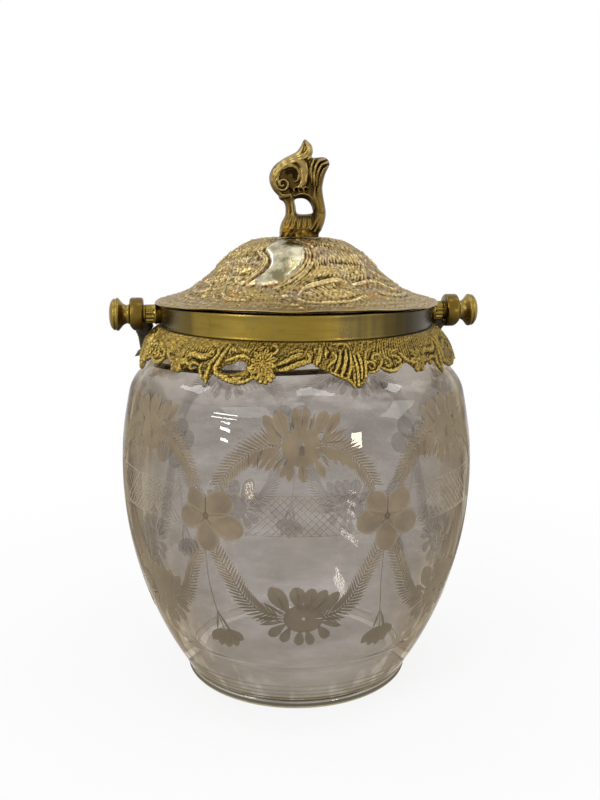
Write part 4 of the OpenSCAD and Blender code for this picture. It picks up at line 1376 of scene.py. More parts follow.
# A small plain pad at the foot of the dome, right of the front
LID_PAD = [
    (14, 41.2), (20, 40), (28, 40.6), (33, 43.2), (26, 45), (17, 44.4),
]


def lid_relief(bearing, r):
    """Height of the stamped work over half the lid, and how polished it is."""
    a = np.radians(bearing)
    work = Relief(r * np.sin(a), -r * np.cos(a))
    ripple = 0.2 * rough_ground(work.x, work.y, 1.3, 3) + 0.16 * rough_ground(work.x, work.y, 4.5, 5)
    for points in LID_WAVES:
        work.stroke(polar(points), 1.1, 0.42, (0.2, 0.2), centre=0.35, echo=5.0)
    for tops, bottoms, count, half, height in LID_FEATHERS:
        work.row(polar(tops), polar(bottoms), count, 0.95 * half, 0.65 * height, taper=(0.5, 0.45))
    for points, half, height, lobes in LID_LEAVES:
        work.stroke(polar(points), half, 0.7 * height, (0.5, 0.25), lobes=lobes, veins=0.45, centre=0.35,
                    echo=5.0)
    for points, half, height, how in LID_SCROLLS:
        work.stroke(polar(points), 0.78 * half, 0.75 * height, echo=7.0, **how)
    work.echoes(1.1, 0.26, 9.0)
    for bearing, radius in LID_BEADS:
        work.stroke(polar([(bearing, radius), (bearing + 0.5, radius)]), 1.0, 0.9, (1, 1), per_span=1)
    depth = depth_inside(work.x, work.y, curve_through(polar(LID_DROP), 5, closed=True))
    drop = np.clip(depth / 1.2, 0, 1)
    swell = 0.9 + 0.5 * np.clip(depth / 6, 0, 1)
    height = np.where(drop > 0, np.maximum(work.height * (1 - drop), swell * np.sqrt(drop)), work.height)
    depth = depth_inside(work.x, work.y, curve_through(polar(LID_PAD), 5, closed=True))
    height = np.maximum(height, 0.6 * np.sqrt(np.clip(depth / 0.8, 0, 1)))
    return height + ripple * (1 - drop), drop


def make_lid(material):
    """Stamped dome: the design runs over half the lid and comes twice, over a plain inner face."""
    r = np.concatenate([np.linspace(LID_WORK_R, 30, 48), np.linspace(30, LID_BRIM_R, 50)[1:],
                        np.linspace(LID_BRIM_R, LID_R - 0.25, 38)[1:]])
    rows, half = len(r), LID_COLUMNS // 2
    bearing = -80 + 180 * np.arange(half) / half
    b, rr = np.meshgrid(bearing, r)
    # Strokes that cross the seams of the half are taken from both of its neighbours
    parts = [lid_relief(b.ravel() + turn, rr.ravel()) for turn in (0, -180, 180)]
    height, drop = (np.max([part[k] for part in parts], 0).reshape(rows, half) for k in (0, 1))
    fade = np.clip((r - LID_WORK_R) / 2.0, 0, 1) * np.clip((LID_R - 0.4 - r) / 1.6, 0, 1)
    height = np.tile(height * fade[:, None], (1, 2))
    drop = np.tile(drop, (1, 2))
    bearing = np.radians(np.concatenate([bearing, bearing + 180]) + LID_TURN)
    # Slope of the plain face, from two radii close together
    e = 0.05
    slope = (lid_z(r + e) - lid_z(r - e)) / (2 * e)
    lean = np.sqrt(1 + slope**2)
    out = np.minimum(r[:, None] - (slope / lean)[:, None] * (height - LID_SINK), LID_R)
    up = lid_z(r)[:, None] + (height - LID_SINK) / lean[:, None]
    # The brim isn't quite level: it rises at the front and waves a little
    bent = BRIM_LIFT * front_lift(bearing) + 0.12 * np.sin(9 * bearing) + 0.1 * np.sin(17 * bearing + 1)
    bent = np.maximum(bent, 0)

    def brim_share(radius):
        return np.clip((radius - LID_BRIM_R) / 13, 0, 1)[:, None] ** 1.6

    up += brim_share(r) * bent
    edge_r = np.array([LID_R, LID_R - 0.05, LID_R - 0.5])
    edge_z = np.array([LID_BASE + 0.62, LID_BASE + 0.28, LID_BASE])
    inner_r = np.concatenate([[LID_INNER_R], np.linspace(LID_INNER_R - 0.2, 9, 22), [LID_HOLE_R]])
    inner_z = np.concatenate([[LID_BASE], lid_z(inner_r[1:-1]) - LID_WALL * 1.35, [LID_TOP - LID_WALL]])
    inner_z[1] = LID_BASE + 0.4
    coarse = LID_INNER_COLUMNS
    step = LID_COLUMNS // coarse
    turn = bearing[::step]
    inner_up = inner_z[:, None] + brim_share(inner_r) * bent[::step]
    points = [round_axis(out, bearing, up), round_axis(edge_r[:, None], bearing, edge_z[:, None] + bent),
              round_axis(inner_r[:, None], turn, inner_up), round_axis(LID_HOLE_R, turn, LID_TOP - 0.3)]
    faces = ring_faces(rows + 3, LID_COLUMNS)[:, ::-1].tolist()
    last = (rows + 2) * LID_COLUMNS
    first = last + LID_COLUMNS
    under = first + (len(inner_r) - 1) * coarse
    hub = under + coarse

    def fine_columns(k):
        return [(k * step + j) % LID_COLUMNS for j in range(step + 1)]

    for k in range(coarse):
        faces.append([last + column for column in fine_columns(k)] + [first + (k + 1) % coarse, first + k])
    faces += (ring_faces(len(inner_r), coarse)[:, ::-1] + first).tolist()
    for k in range(coarse):
        n = (k + 1) % coarse
        faces.append([under + k, under + n, hub + n, hub + k])
        faces.append(fine_columns(k)[::-1] + [hub + k, hub + n])
    lid = mesh_object("lid_stamped", np.vstack(points), faces)
    # How far each place stands above its surroundings, so that hollows hold dirt and ridges are rubbed
    sharp = height - blurred(height, 5, True)
    # All but the stamped face and the rounded edge get a low relief, so the lid's underside renders dark:
    # painted shade under the lid.
    relief = np.full(len(lid.data.vertices), 0.05)
    relief[height.size : height.size + 2 * LID_COLUMNS] = 0.6
    relief[: height.size] = np.maximum(np.clip(0.44 + 1.15 * sharp + 0.08 * height, 0, 1), 0.8 * drop).ravel()
    polish = np.zeros(len(lid.data.vertices))
    polish[: drop.size] = drop.ravel()
    set_attribute(lid, "relief", relief)
    set_attribute(lid, "polish", polish)
    face_outwards(lid)
    return dressed(lid, material, "lid", "lid_gilt", "lid_shell")


# ---------------------------------------------------------------- skirt
CASTING_W = 90 * CASTING_DEGREE
# Just below the lowest pendant
CASTING_DROP = 17.2
# Hem of one casting: angle from its left seam, and drop
HEM = [
    (0, 16.2), (1, 16.9), (2.6, 15.8), (3.6, 14.2), (4.6, 11.6), (7, 10.2), (9.5, 10), (12, 11.2), (14, 12),
    (16, 11.2), (17.5, 10.4), (20.5, 9.3), (22.3, 10.4), (24, 12), (26, 13.2), (28, 13.6), (30, 12.4),
    (31.2, 11.2), (34, 10.4), (36.6, 11), (38.2, 13.2), (39.6, 15), (40.8, 15.1), (42, 13.2), (43, 11.6),
    (44.5, 11.6), (46.5, 12.6), (49, 14.4), (51, 14.9), (53, 14.3), (55, 13.4), (58, 12.4), (61, 11.6),
    (64, 10.4), (67, 9.8), (70, 9.2), (73, 7.6), (75.5, 7), (78, 8.8), (81, 10.4), (84, 11.4), (86.5, 12.4),
    (88.3, 14), (89.3, 15.6), (90, 16.2),
]


def casting_places(points):
    """Flat places (across, drop) in millimetres from (angle, drop) pairs."""
    p = np.asarray(points, float)
    return np.stack([p[:, 0] * CASTING_DEGREE, p[:, 1]], 1)


# Opening in a casting, above its garland
PIERCING = [
    (45.5, 9.8), (46.3, 8.4), (48, 7.7), (49.6, 7.2), (50.6, 6.4), (52.8, 6.2), (54, 7.3), (53.8, 9),
    (52.2, 10.2), (49.3, 10.9), (46.9, 10.8),
]
# Ridges and leaves: (angle, drop) places, half width, height, and how each is drawn
CAST_STROKES = [
    # Ribs beside the left seam, and the two curls
    ([(0.5, 4.6), (0.9, 9), (0.7, 15.6)], 0.75, 0.8, dict(taper=(0.7, 0.5))),
    ([(2.2, 3.8), (2.5, 7.4), (1.9, 12.6)], 0.7, 0.85, dict(taper=(0.6, 0.5))),
    ([(5.2, 3.6), (4, 7.4), (3.4, 12.4)], 0.75, 0.8, dict(taper=(0.6, 0.5))),
    ([(4.4, 10.6), (7, 10.6), (9.4, 8.6), (10.6, 6.4), (9.6, 4.8), (7.6, 4.9), (7, 6.4), (8.2, 7.3)], 0.8,
     1, dict(centre=0.3)),
    ([(3.4, 9.4), (4.6, 7.4), (6.4, 7.2), (7.2, 8.8), (6, 9.8), (5.2, 8.8)], 0.65, 0.95, {}),
    ([(9.6, 9.4), (11.8, 10.6), (14.2, 11), (16.6, 10.2), (18.4, 8.6)], 1.15, 0.95,
     dict(lobes=4, veins=0.3)),
    ([(11.4, 5.4), (13.4, 7), (13.6, 8.8), (12, 9), (11.6, 7.8)], 0.8, 0.9, dict(centre=0.3)),
    ([(14.6, 5.6), (17, 6.2), (18, 7.8), (16.6, 8.4), (15.6, 7.4)], 0.75, 0.9, {}),
    ([(18.6, 5.2), (20.4, 7.2), (22.6, 8.8)], 1.1, 0.85, dict(lobes=3, veins=0.3)),
    ([(13.6, 3.4), (16.4, 4.2), (19.2, 3.6)], 0.8, 0.6, dict(veins=0.4, lobes=5)),
    # Leaf in a crook, and the leaf that hangs from it
    ([(30.6, 6.6), (32.8, 5.4), (36.2, 6), (38.8, 5.4), (40.4, 3.8)], 1.35, 0.85, dict(taper=(0.4, 0.6))),
    ([(42.6, 2.6), (43.2, 4.6), (42.2, 6.6), (40.8, 8.6)], 0.9, 0.9, dict(taper=(0.4, 0.6))),
    ([(29.8, 6.6), (31, 8.4), (32.6, 9.6)], 0.9, 0.8, {}),
    ([(36.8, 9), (34.8, 8.4), (33.2, 9.2), (33.4, 10.6), (35.2, 10.4)], 0.85, 0.95, {}),
    ([(38, 8.4), (37.4, 10.4), (38.4, 12.6), (39.4, 14.4)], 0.9, 0.9, dict(lobes=3)),
    ([(41.2, 8.8), (40.6, 11.4), (40.2, 13.4), (40.6, 15.2)], 1.35, 0.85,
     dict(taper=(0.5, 0.5), lobes=4, veins=0.35)),
    # Broad ribbed rim round the opening
    ([(46.6, 0.8), (45.4, 4), (44.2, 6.8), (43.4, 9.2), (44, 11.2), (46.6, 12.6), (49.6, 13.6),
     (52.4, 13.9), (54.8, 13.2), (57.2, 11.6)], 1.5, 0.85, dict(taper=(0.6, 0.6), lobes=16, veins=0.3)),
    ([(46.4, 7), (48.4, 6), (50.6, 4.9), (53, 4.6), (55, 5.6)], 0.85, 0.8, dict(lobes=5)),
    ([(49.8, 3.4), (48.4, 2.4), (47.2, 3), (47.6, 4.2)], 0.6, 0.85, {}),
    ([(50.6, 2.2), (53, 2.8), (55.4, 2)], 0.7, 0.55, dict(lobes=3)),
    ([(54.6, 8.4), (56.2, 9.8), (57.2, 11.8)], 0.95, 0.9, dict(centre=0.4)),
    ([(45.6, 11.4), (47, 12.2), (48.4, 11.8)], 0.9, 0.95, dict(lobes=2)),
    ([(50, 12.2), (51.6, 12.8), (53.2, 12)], 0.9, 0.95, dict(lobes=2)),
    # Hooked leaves over the daisy, and the garland beside it
    ([(62.2, 4.2), (63.8, 3), (64, 1.5), (62.6, 0.9)], 0.65, 0.85, {}),
    ([(57.4, 2.8), (58.6, 1.6), (60, 1.2)], 0.6, 0.7, {}),
    ([(64.8, 7.2), (67.2, 6), (69.6, 4.6), (72.8, 3.4)], 1, 0.85, dict(lobes=4, veins=0.4, centre=0.4)),
    ([(64.8, 9.2), (67.4, 8.6), (70.2, 7.4), (73.2, 6.4), (75.8, 6)], 1.35, 0.9,
     dict(lobes=6, veins=0.5, centre=0.3)),
    ([(68.6, 3.2), (70.6, 2.4), (73, 2.4)], 0.7, 0.6, dict(lobes=2)),
    ([(74.4, 3.4), (75.4, 4.8), (74.6, 6)], 0.75, 0.85, {}),
    # Ridge, curl and broad cross-hatched ribs of the shell
    ([(79.2, 1.2), (78.6, 4.2), (77.2, 7.4)], 1.1, 0.9, dict(taper=(0.6, 0.5), centre=0.3)),
    ([(81.2, 1.6), (80.8, 3.6), (80.6, 4.6)], 0.8, 0.7, {}),
    ([(82.8, 3.2), (84.2, 4.4), (83.6, 6), (82, 7), (80.8, 8.4)], 0.75, 0.9, {}),
    ([(86, 2.6), (84.9, 6.4), (83.4, 9.8)], 1.05, 0.8, dict(taper=(0.7, 0.6), lobes=9, veins=0.3)),
    ([(88.1, 2.8), (87, 7), (85.2, 11.2)], 1.1, 0.85, dict(taper=(0.7, 0.6), lobes=10, veins=0.3)),
    ([(89.4, 3.2), (88.8, 8), (87.2, 12.4)], 0.9, 0.85, dict(taper=(0.7, 0.6), lobes=10, veins=0.3)),
    ([(82.2, 10.2), (85, 11.6), (87.6, 13), (89.2, 15.4)], 0.9, 0.9, dict(taper=(0.6, 0.6))),
    ([(89.7, 6), (89.6, 11), (89.4, 15.8)], 0.8, 0.85, dict(taper=(0.7, 0.6))),
    ([(84, 0.7), (88.2, 0.6), (89.5, 1.4), (89.7, 4)], 0.5, 0.75, dict(taper=(0.3, 0.8))),
]
# Deep grooves: (angle, drop) places, half width, depth
CAST_GROOVES = [
    ([(31.6, 8.2), (33.4, 6.9), (36.4, 7.6), (38.8, 7.2), (40.8, 6), (42, 4.6), (41.4, 2.9), (39.8, 2.4)],
    0.32, 0.6), ([(64.6, 8), (67.4, 7.2), (70, 6), (73.4, 4.9)], 0.3, 0.6), ([(81.8, 1.7), (82.4, 3.1),
    (81.4, 4.8)], 0.35, 0.6), ([(85.4, 3), (84, 6.4), (82.6, 9.4)], 0.25, 0.5), ([(87.1, 2.8), (86, 6.8),
    (84.4, 10.6)], 0.25, 0.5), ([(88.9, 3.2), (87.9, 7.6), (86.2, 12)], 0.25, 0.5), ([(76.4, 1.4),
    (76.6, 4.4), (75.6, 7)], 0.3, 0.5), ([(59, 2.8), (59.8, 1.6), (59, 0.8)], 0.3, 0.4), ([(62.4, 2.9),
    (63, 2), (62.4, 1.4)], 0.25, 0.4), ([(3.2, 4), (3.2, 8), (2.6, 12.6)], 0.25, 0.4), ([(1.5, 4.6),
    (1.7, 9), (1.3, 13.6)], 0.22, 0.4), ([(6.6, 5), (5.8, 6.6)], 0.3, 0.5), ([(10.8, 8.6), (11, 6.6),
    (10.4, 4.4)], 0.3, 0.5), ([(14.4, 9.2), (14.6, 7), (13.4, 5.2)], 0.3, 0.5), ([(19, 8.6), (18.8, 6.6),
    (17.6, 5.2)], 0.3, 0.5), ([(44.2, 2.6), (43.6, 5.4), (42.4, 8)], 0.25, 0.4),
]


def cast_scrollwork(work):
    """All that stands out of one casting: hatching, scrolls, garlands, flowers, a shell and pendants."""
    place = casting_places
    for k in range(31):
        a = 9.5 + 1.12 * k
        low = 6.4 if k < 20 else 4.2
        points = [(a, low), (a + 0.3, 0.66 * low), (a + 1.5, 0.28 * low), (a + 3.6, 0.1)]
        work.stroke(place(points), 0.36, 0.42, (0.7, 0.6), per_span=3)
    for k in range(34):
        a = 0.6 + 2.6 * k
        work.stroke(place([(a, 3.6), (a + 2.4, 0.2)]), 0.4, 0.25, (0.7, 0.7), per_span=1)
    for k in range(9):
        a = 48.5 + 1.2 * k
        work.stroke(place([(a, 3.4), (a + 1.0, 0.5)]), 0.32, 0.3, (0.7, 0.7), per_span=1)
    for points, half, height, how in CAST_STROKES:
        work.stroke(place(points), 0.8 * half, height, **{"veins": 0.45, **how})
    # Flower with six round petals
    x, y = place([(26.6, 8.4)])[0]
    for heading, reach, size in [(62, 3.3, 1.7), (118, 3.3, 1.7), (4, 3.5, 1.4), (176, 3.5, 1.4),
                                 (-62, 3.4, 1.35), (-118, 3.4, 1.35)]:
        way = np.array([math.cos(math.radians(heading)), math.sin(math.radians(heading))])
        work.stroke([(x, y) + 0.9 * way, (x, y) + reach * way], size, 0.95, (0.5, 0.9), centre=0.35)
    work.button(x, y, 0.9, 1.05)
    # Daisy, with a bud that opens below it
    x, y = place([(59.8, 6.9)])[0]
    for k in range(12):
        way = np.array([math.cos(0.2 + k * math.pi / 6), math.sin(0.2 + k * math.pi / 6)])
        reach = 5.3 if k % 2 else 4.7
        work.stroke([(x, y) + 1.2 * way, (x, y) + reach * way], 1.02, 0.95, (0.5, 0.4), centre=0.5)
    work.button(x, y, 1.35, 1.0)
    work.cut([(x - 0.5, y), (x, y - 0.5), (x + 0.5, y)], 0.3, 0.4)
    for tip in [(58.0, 12.2), (59.4, 13.3), (61.0, 13.6), (62.6, 12.8), (63.4, 11.2)]:
        work.stroke(place([(60.6, 9.8), tip]), 0.95, 0.9, (0.5, 0.9), centre=0.3)
    for points, half, depth in CAST_GROOVES:
        work.cut(place(points), half, depth)


def pierced_faces(metal, across, down):
    """Marching squares: points (across, down) and faces of the flat region where metal is above 0."""
    rows, columns = metal.shape
    index, points, faces = {}, [], []

    def corner(i, j):
        key = (i, j)
        if key not in index:
            index[key] = len(points)
            points.append((across[j], down[i]))
        return index[key]

    def crossing(i, j, m, n):
        key = (min((i, j), (m, n)), max((i, j), (m, n)))
        if key not in index:
            (i, j), (m, n) = key
            t = metal[i, j] / (metal[i, j] - metal[m, n])
            t = min(max(t, 0.08), 0.92)
            index[key] = len(points)
            points.append((across[j] + t * (across[n] - across[j]), down[i] + t * (down[m] - down[i])))
        return index[key]

    for i in range(rows - 1):
        for j in range(columns - 1):
            ring = [(i, j), (i, j + 1), (i + 1, j + 1), (i + 1, j)]
            inside = [metal[c] > 0 for c in ring]
            if not any(inside):
                continue
            face = []
            for k in range(4):
                n = (k + 1) % 4
                if inside[k]:
                    face.append(corner(*ring[k]))
                if inside[k] != inside[n]:
                    face.append(crossing(*ring[k], *ring[n]))
            if len(face) > 2:
                faces.append(face)
    return np.array(points), faces


def casting_metal(x, y, pierced):
    """Relief of one casting at flat places, and its metal: above 0 in its outline and off its piercings."""
    work = Relief(x, y)
    cast_scrollwork(work)
    bend = 1.6 * rough_ground(x, y, 5.0, 9)
    hatch = np.sin(math.tau * (0.8 * x + 0.6 * y) / 1.15 + bend)
    hatch *= np.sin(math.tau * (0.5 * x - 0.9 * y) / 1.3 + bend)
    on_leaf = np.clip(work.height / 0.5, 0, 1)
    rough = 0.16 * rough_ground(x, y, 0.85, 7) + 0.1 * rough_ground(x, y, 3.0, 8)
    work.height = 0.9 * work.height + rough + (0.10 - 0.02 * on_leaf) * hatch
    hem = curve_through(HEM, 4)
    drop = np.interp(x / CASTING_DEGREE, hem[:, 0], hem[:, 1])
    metal = np.maximum(np.minimum(work.metal, 0.6), drop - 0.7 - y)
    if pierced:
        opening = curve_through(casting_places(PIERCING), 4, closed=True)
        metal = np.minimum(metal, -depth_inside(x, y, opening))
    for centre, half_x, half_y, lean in [((72.4, 8.9), 1.3, 0.7, -0.2), ((20.4, 10.2), 1.0, 0.6, 0.1)]:
        dx, dy = x - centre[0] * CASTING_DEGREE, y - centre[1]
        dy = dy - lean * dx
        hole = (np.hypot(dx / half_x, dy / half_y) - 1) * min(half_x, half_y)
        metal = np.minimum(metal, hole)
    return work.height, np.minimum(metal, np.minimum(x, CASTING_W - x) + 0.05)


def make_casting(name, k, pierced, material):
    """One quarter of the skirt, k quarters on from the seam near the front."""
    across = np.linspace(0.03, CASTING_W - 0.03, 420)
    down = np.concatenate([[0.0], np.linspace(0.25, CASTING_DROP, 70)])
    x, y = np.meshgrid(across, down)
    grid, metal = (part.reshape(x.shape) for part in casting_metal(x.ravel(), y.ravel(), pierced))
    # How far each place stands above its surroundings, near and a little wider
    sharp = 0.55 * (grid - blurred(grid, 2, False)) + 0.5 * (grid - blurred(grid, 7, False))
    flat, faces = pierced_faces(metal, across, down)
    height, metal = casting_metal(flat[:, 0], flat[:, 1], pierced)
    along, drop = flat[:, 0], flat[:, 1]
    round_off = 0.55 * np.exp(-np.clip(metal, 0, 9) / 0.45)
    lift = np.minimum(height, 0.95) - 0.35 - round_off
    lift = lift * np.clip(drop / 0.6, 0.15, 1)
    row = np.clip(np.searchsorted(down, drop), 0, len(down) - 1)
    column = np.clip(np.searchsorted(across, along), 0, len(across) - 1)
    relief = np.clip(0.37 + 1.65 * sharp[row, column] + 0.06 * height, 0, 1)
    angle = np.radians(along / CASTING_DEGREE + SEAM_BEARING + 90 * k)
    tilt = skirt_tilt(drop)
    way = np.stack([np.sin(angle), -np.cos(angle)], 1)

    def shell_points(rise):
        r = skirt_r(drop) + rise * np.cos(tilt)
        z = SKIRT_TOP - drop + rise * np.sin(tilt)
        return np.column_stack([r[:, None] * way, np.minimum(z, SKIRT_TOP)])

    # The back follows the face at one wall's depth, and at the top it meets the collar
    behind = shell_points(0.2 * round_off - CASTING_WALL)
    seat = np.clip(1 - drop / 2.0, 0, 1)[:, None]
    on_collar = np.column_stack([(COLLAR_R - 0.55) * way, SKIRT_TOP - drop])
    behind = behind * (1 - seat) + on_collar * seat
    points, walls = closed_shell(shell_points(lift), behind, [face[::-1] for face in faces])
    casting = mesh_object(f"skirt_{name}_cast", points, walls)
    set_attribute(casting, "relief", np.concatenate([relief, np.full(len(relief), 0.1)]))
    face_outwards(casting)
    return dressed(casting, material, "jar", "skirt_brass", f"skirt_{name}")


def make_skirt(material):
    """Four castings that meet at seams; on one, the opening over the garland is filled."""
    for k, name in enumerate(["front_right", "back_right", "back_left", "front_left"]):
        make_casting(name, k, name != "front_right", material)


# ---------------------------------------------------------------- finial
# Outline in its own upright plane: across, and height above the crown
FINIAL_OUTLINE = [
    (-6.9, -5), (-7.1, 0.6), (-7.1, 2), (-6.9, 3.9), (-6.2, 6.1), (-5, 8.3), (-4.6, 9.7), (-4.6, 12.6),
    (-5.4, 14.5), (-7, 15.5), (-7.6, 17), (-9.5, 19), (-10.9, 21.7), (-11.3, 24.3), (-10.8, 26.5),
    (-9.5, 28.7), (-7.7, 30.4), (-5, 32.2), (-2.3, 33.5), (0.2, 34.9), (1.8, 37), (2.8, 39), (3.7, 39.75),
    (5.2, 38.6), (6.5, 37), (6.9, 34.8), (6.5, 32.6), (8.5, 32.4), (11.2, 32.6), (13, 31.7), (13.8, 30),
    (13.3, 28.3), (12.2, 26.1), (11.3, 23), (10.9, 19.9), (11.3, 16.4), (12, 12.8), (12.4, 9.7),
    (11.8, 6.1), (10.6, 3), (9.4, 0.7), (9.2, -5),
]
FINIAL_HOLE = [
    (-0.6, 15.3), (-0.3, 12.6), (0.3, 9.9), (3.2, 9.4), (6.7, 9.9), (6.7, 11.4), (6.2, 13), (5, 14.7),
    (3.6, 15.6), (1.8, 15.9),
]

# Strokes of the finial: (across, height) places, half width, height, and how each is drawn
FINIAL_STROKES = [
    ([(4, 39.2), (5.2, 36), (4.1, 33.4), (-0.4, 31.6), (-5.3, 29.6), (-9, 25.8), (-9.9, 21.9), (-8.4, 18.6),
     (-5.8, 16.7), (-3.2, 17.2)], 1.75, 1.7, dict(taper=(0.4, 0.5), centre=0.3)),
    ([(2.9, 38), (1.5, 34.6), (-2.4, 32.5), (-7.2, 30.2)], 0.85, 1.4, {}),
    ([(6.2, 37), (6.2, 33.6), (4.8, 31.4)], 0.95, 1.3, {}),
    ([(-0.9, 30.2), (-5.6, 28), (-7.5, 24.4), (-7.3, 20.9)], 0.6, 1.3, {}),
    ([(-5.3, 27.6), (-2.4, 29), (0, 28.1), (1.2, 25.7), (0.6, 23.4), (-0.9, 22.4)], 1, 1.3, dict(lobes=6)),
    ([(0.1, 31.2), (3, 29.2), (3.6, 25.4), (2.7, 22), (1, 20.4)], 2, 1.5, dict(taper=(0.5, 0.5))),
    ([(6.4, 22), (6.2, 28), (7.2, 31.8)], 0.75, 1.3, dict(taper=(0.6, 0.9))),
    ([(7.4, 21), (7.6, 27), (9, 30.6), (11.6, 31.8)], 0.8, 1.6, dict(taper=(0.6, 0.9))),
    ([(8.4, 21), (8.9, 26), (10.4, 29.2), (12.9, 30.4)], 0.75, 1.5, dict(taper=(0.6, 0.9))),
    ([(9.4, 21.5), (10.2, 25), (11.6, 27.6), (13.3, 28.8)], 0.7, 1.4, dict(taper=(0.6, 0.9))),
    ([(13, 28.6), (11.6, 24), (10.7, 19.6), (11.1, 14.8), (11.7, 10.3), (11.1, 6), (9.3, 1.6)], 1.15, 1.4,
     dict(taper=(0.7, 0.6))),
    ([(10.5, 23.4), (9.3, 18.6), (9.9, 13.8), (10.4, 9.8), (9.4, 5.6), (7.6, 2.4)], 0.95, 1.3,
     dict(taper=(0.5, 0.6))),
    ([(7.8, 20.4), (7.6, 16.8), (8.6, 12.9), (8.9, 9.2), (7.5, 5.4), (6, 3.2)], 0.85, 1.4,
     dict(taper=(0.5, 0.6))),
    ([(-0.8, 16.8), (2.4, 17.7), (5.4, 16.9), (7, 14.4), (7.4, 11)], 0.75, 1.3, dict(taper=(0.5, 0.5))),
    ([(-6.2, 15.6), (-4.4, 13.7), (-3.7, 11), (-3.9, 8.6)], 1.15, 1.3, dict(taper=(0.7, 0.7), centre=0.3)),
    ([(-2.6, 17.6), (-1.5, 14.8), (-1.3, 11.4), (-1.4, 8.8)], 0.9, 1.3, dict(taper=(0.7, 0.7))),
    ([(-6.4, 6.2), (-6.6, 3.4), (-6.6, 0.8)], 1.1, 1.3, dict(taper=(0.6, 0.7))),
]
FINIAL_GROOVES = [
    ([(4.9, 31), (5.2, 25.4), (4.7, 20.8)], 0.4, 0.5), ([(6.9, 21.6), (6.9, 27.6), (8, 31)], 0.25, 0.5),
    ([(7.9, 21.4), (8.3, 26.6), (9.7, 30), (12.2, 31.2)], 0.25, 0.6), ([(8.9, 21.4), (9.5, 25.6),
    (11, 28.6), (13.2, 29.6)], 0.25, 0.6), ([(-0.1, 19.6), (0.1, 19)], 0.6, 1.2), ([(1.7, 19.4),
    (1.9, 18.8)], 0.5, 1.2), ([(3.9, 19.6), (4.1, 18.9)], 0.6, 1.2), ([(-2.4, 19.6), (-2, 18.8)], 0.5, 1),
    ([(-3.6, 26.4), (-1, 26.6), (-0.6, 24.6)], 0.8, 0.9),
]


def carve_finial(work):
    """Scrolls and leaves that stand out of both faces of the finial, on rounded feet."""
    for points, half, height, how in FINIAL_STROKES:
        work.stroke(points, half, height, **how)
    work.scroll(-5.6, 21.7, 3.1, 1.5, 2.4, 0.75, 1.5, taper=(0.5, 0.8))
    for x, y, size in [(-0.1, 19.3, 1.3), (1.8, 19.2, 1.1), (4.0, 19.3, 1.3)]:
        work.scroll(x, y, size, 0.9, 0.4, 0.45, 1.4)
    for top, low in [(-4.4, -6.2), (-2.4, -3.9), (-0.4, -1.5), (1.6, 0.9), (3.5, 3.3), (5.4, 5.7)]:
        toe = [(low, 3.8), (0.35 * top + 0.65 * low, 6.4), (top, 8.7), (top + 0.5, 9.2)]
        work.stroke(toe, 1.0, 1.3, (0.5, 0.9), centre=0.5)
    for points, half, depth in FINIAL_GROOVES:
        work.cut(points, half, depth)


def make_finial(material):
    """Rococo scroll, carved on both faces and rounded over at its edges."""
    step = 0.27
    across = np.arange(-12.3, 15.0, step)
    up = np.arange(0.0, 40.4, step)
    outline, hole = (curve_through(loop, 5, closed=True) for loop in (FINIAL_OUTLINE, FINIAL_HOLE))

    def metal_at(x, z):
        return np.minimum(depth_inside(x, z, outline), -depth_inside(x, z, hole))

    x, z = np.meshgrid(across, up)
    metal = metal_at(x.ravel(), z.ravel()).reshape(x.shape)
    flat, faces = pierced_faces(metal, across, up)
    x, z = flat[:, 0], flat[:, 1]
    edge = np.clip(metal_at(x, z), 0, None)
    work = Relief(x, z)
    carve_finial(work)
    # Rounded over within 3.4 mm of its edge, and thicker towards the foot
    share = np.sqrt(1 - (1 - np.clip(edge / 3.4, 0, 1)) ** 2)
    foot = np.clip((9.5 - z) / 6.0, 0, 1)
    on_crown = 0.25 * np.clip((4.6 - z) / 2, 0, 1)
    work.height += 0.03 * rough_ground(x, z, 1.6, 4) + on_crown * rough_ground(x, z, 1.7, 6)
    half = 0.25 + (3.0 + 2.6 * foot) * share + 0.8 * work.height * np.clip(edge / 0.8, 0.15, 1)
    wobble = 0.12 * np.sin(1.7 * x + 0.9 * z)
    front = np.stack([x, -(half + wobble), z], 1)
    back = np.stack([x, half - wobble, z], 1)
    points, walls = closed_shell(front, back, faces)
    finial = mesh_object("finial_scroll", points, walls)
    # Relief follows the carving; beyond that the upper part is made lighter, as painted light, and the lower
    # right darker, as painted shade.
    relief = 0.24 + work.height / 2.8 + 0.14 * np.clip((z - 24) / 8, 0, 1)
    relief -= 0.24 * np.clip((x - 5) / 4, 0, 1) * np.clip((27 - z) / 5, 0, 1)
    relief = np.clip(relief, 0, 1)
    set_attribute(finial, "relief", np.concatenate([relief, relief]))
    set_attribute(finial, "foot", np.concatenate([foot, foot]))
    face_outwards(finial)
    turn = Matrix.Translation((0, 0, LID_TOP * MM)) @ Matrix.Rotation(math.radians(LID_TURN), 4, "Z")
    placed(finial, turn)
    return dressed(finial, material, "lid", "finial_gilt", "finial")


# ---------------------------------------------------------------- bail
ARM_W, ARCH_W, BAIL_THK, ARM_LEN, LEAF_LEN = 4.2, 3.2, 3.0, 50.0, 28.0
ARM_MID = EYE_IN + 1.8
FOLD = math.radians(FOLD_ANGLE)
ARCH_OUT = bail_high.y / math.cos(FOLD) - 0.5 * BAIL_THK * math.tan(FOLD)
# Below 1 makes the arch fuller than an ellipse
ARCH_POWER = 2 / 2.1


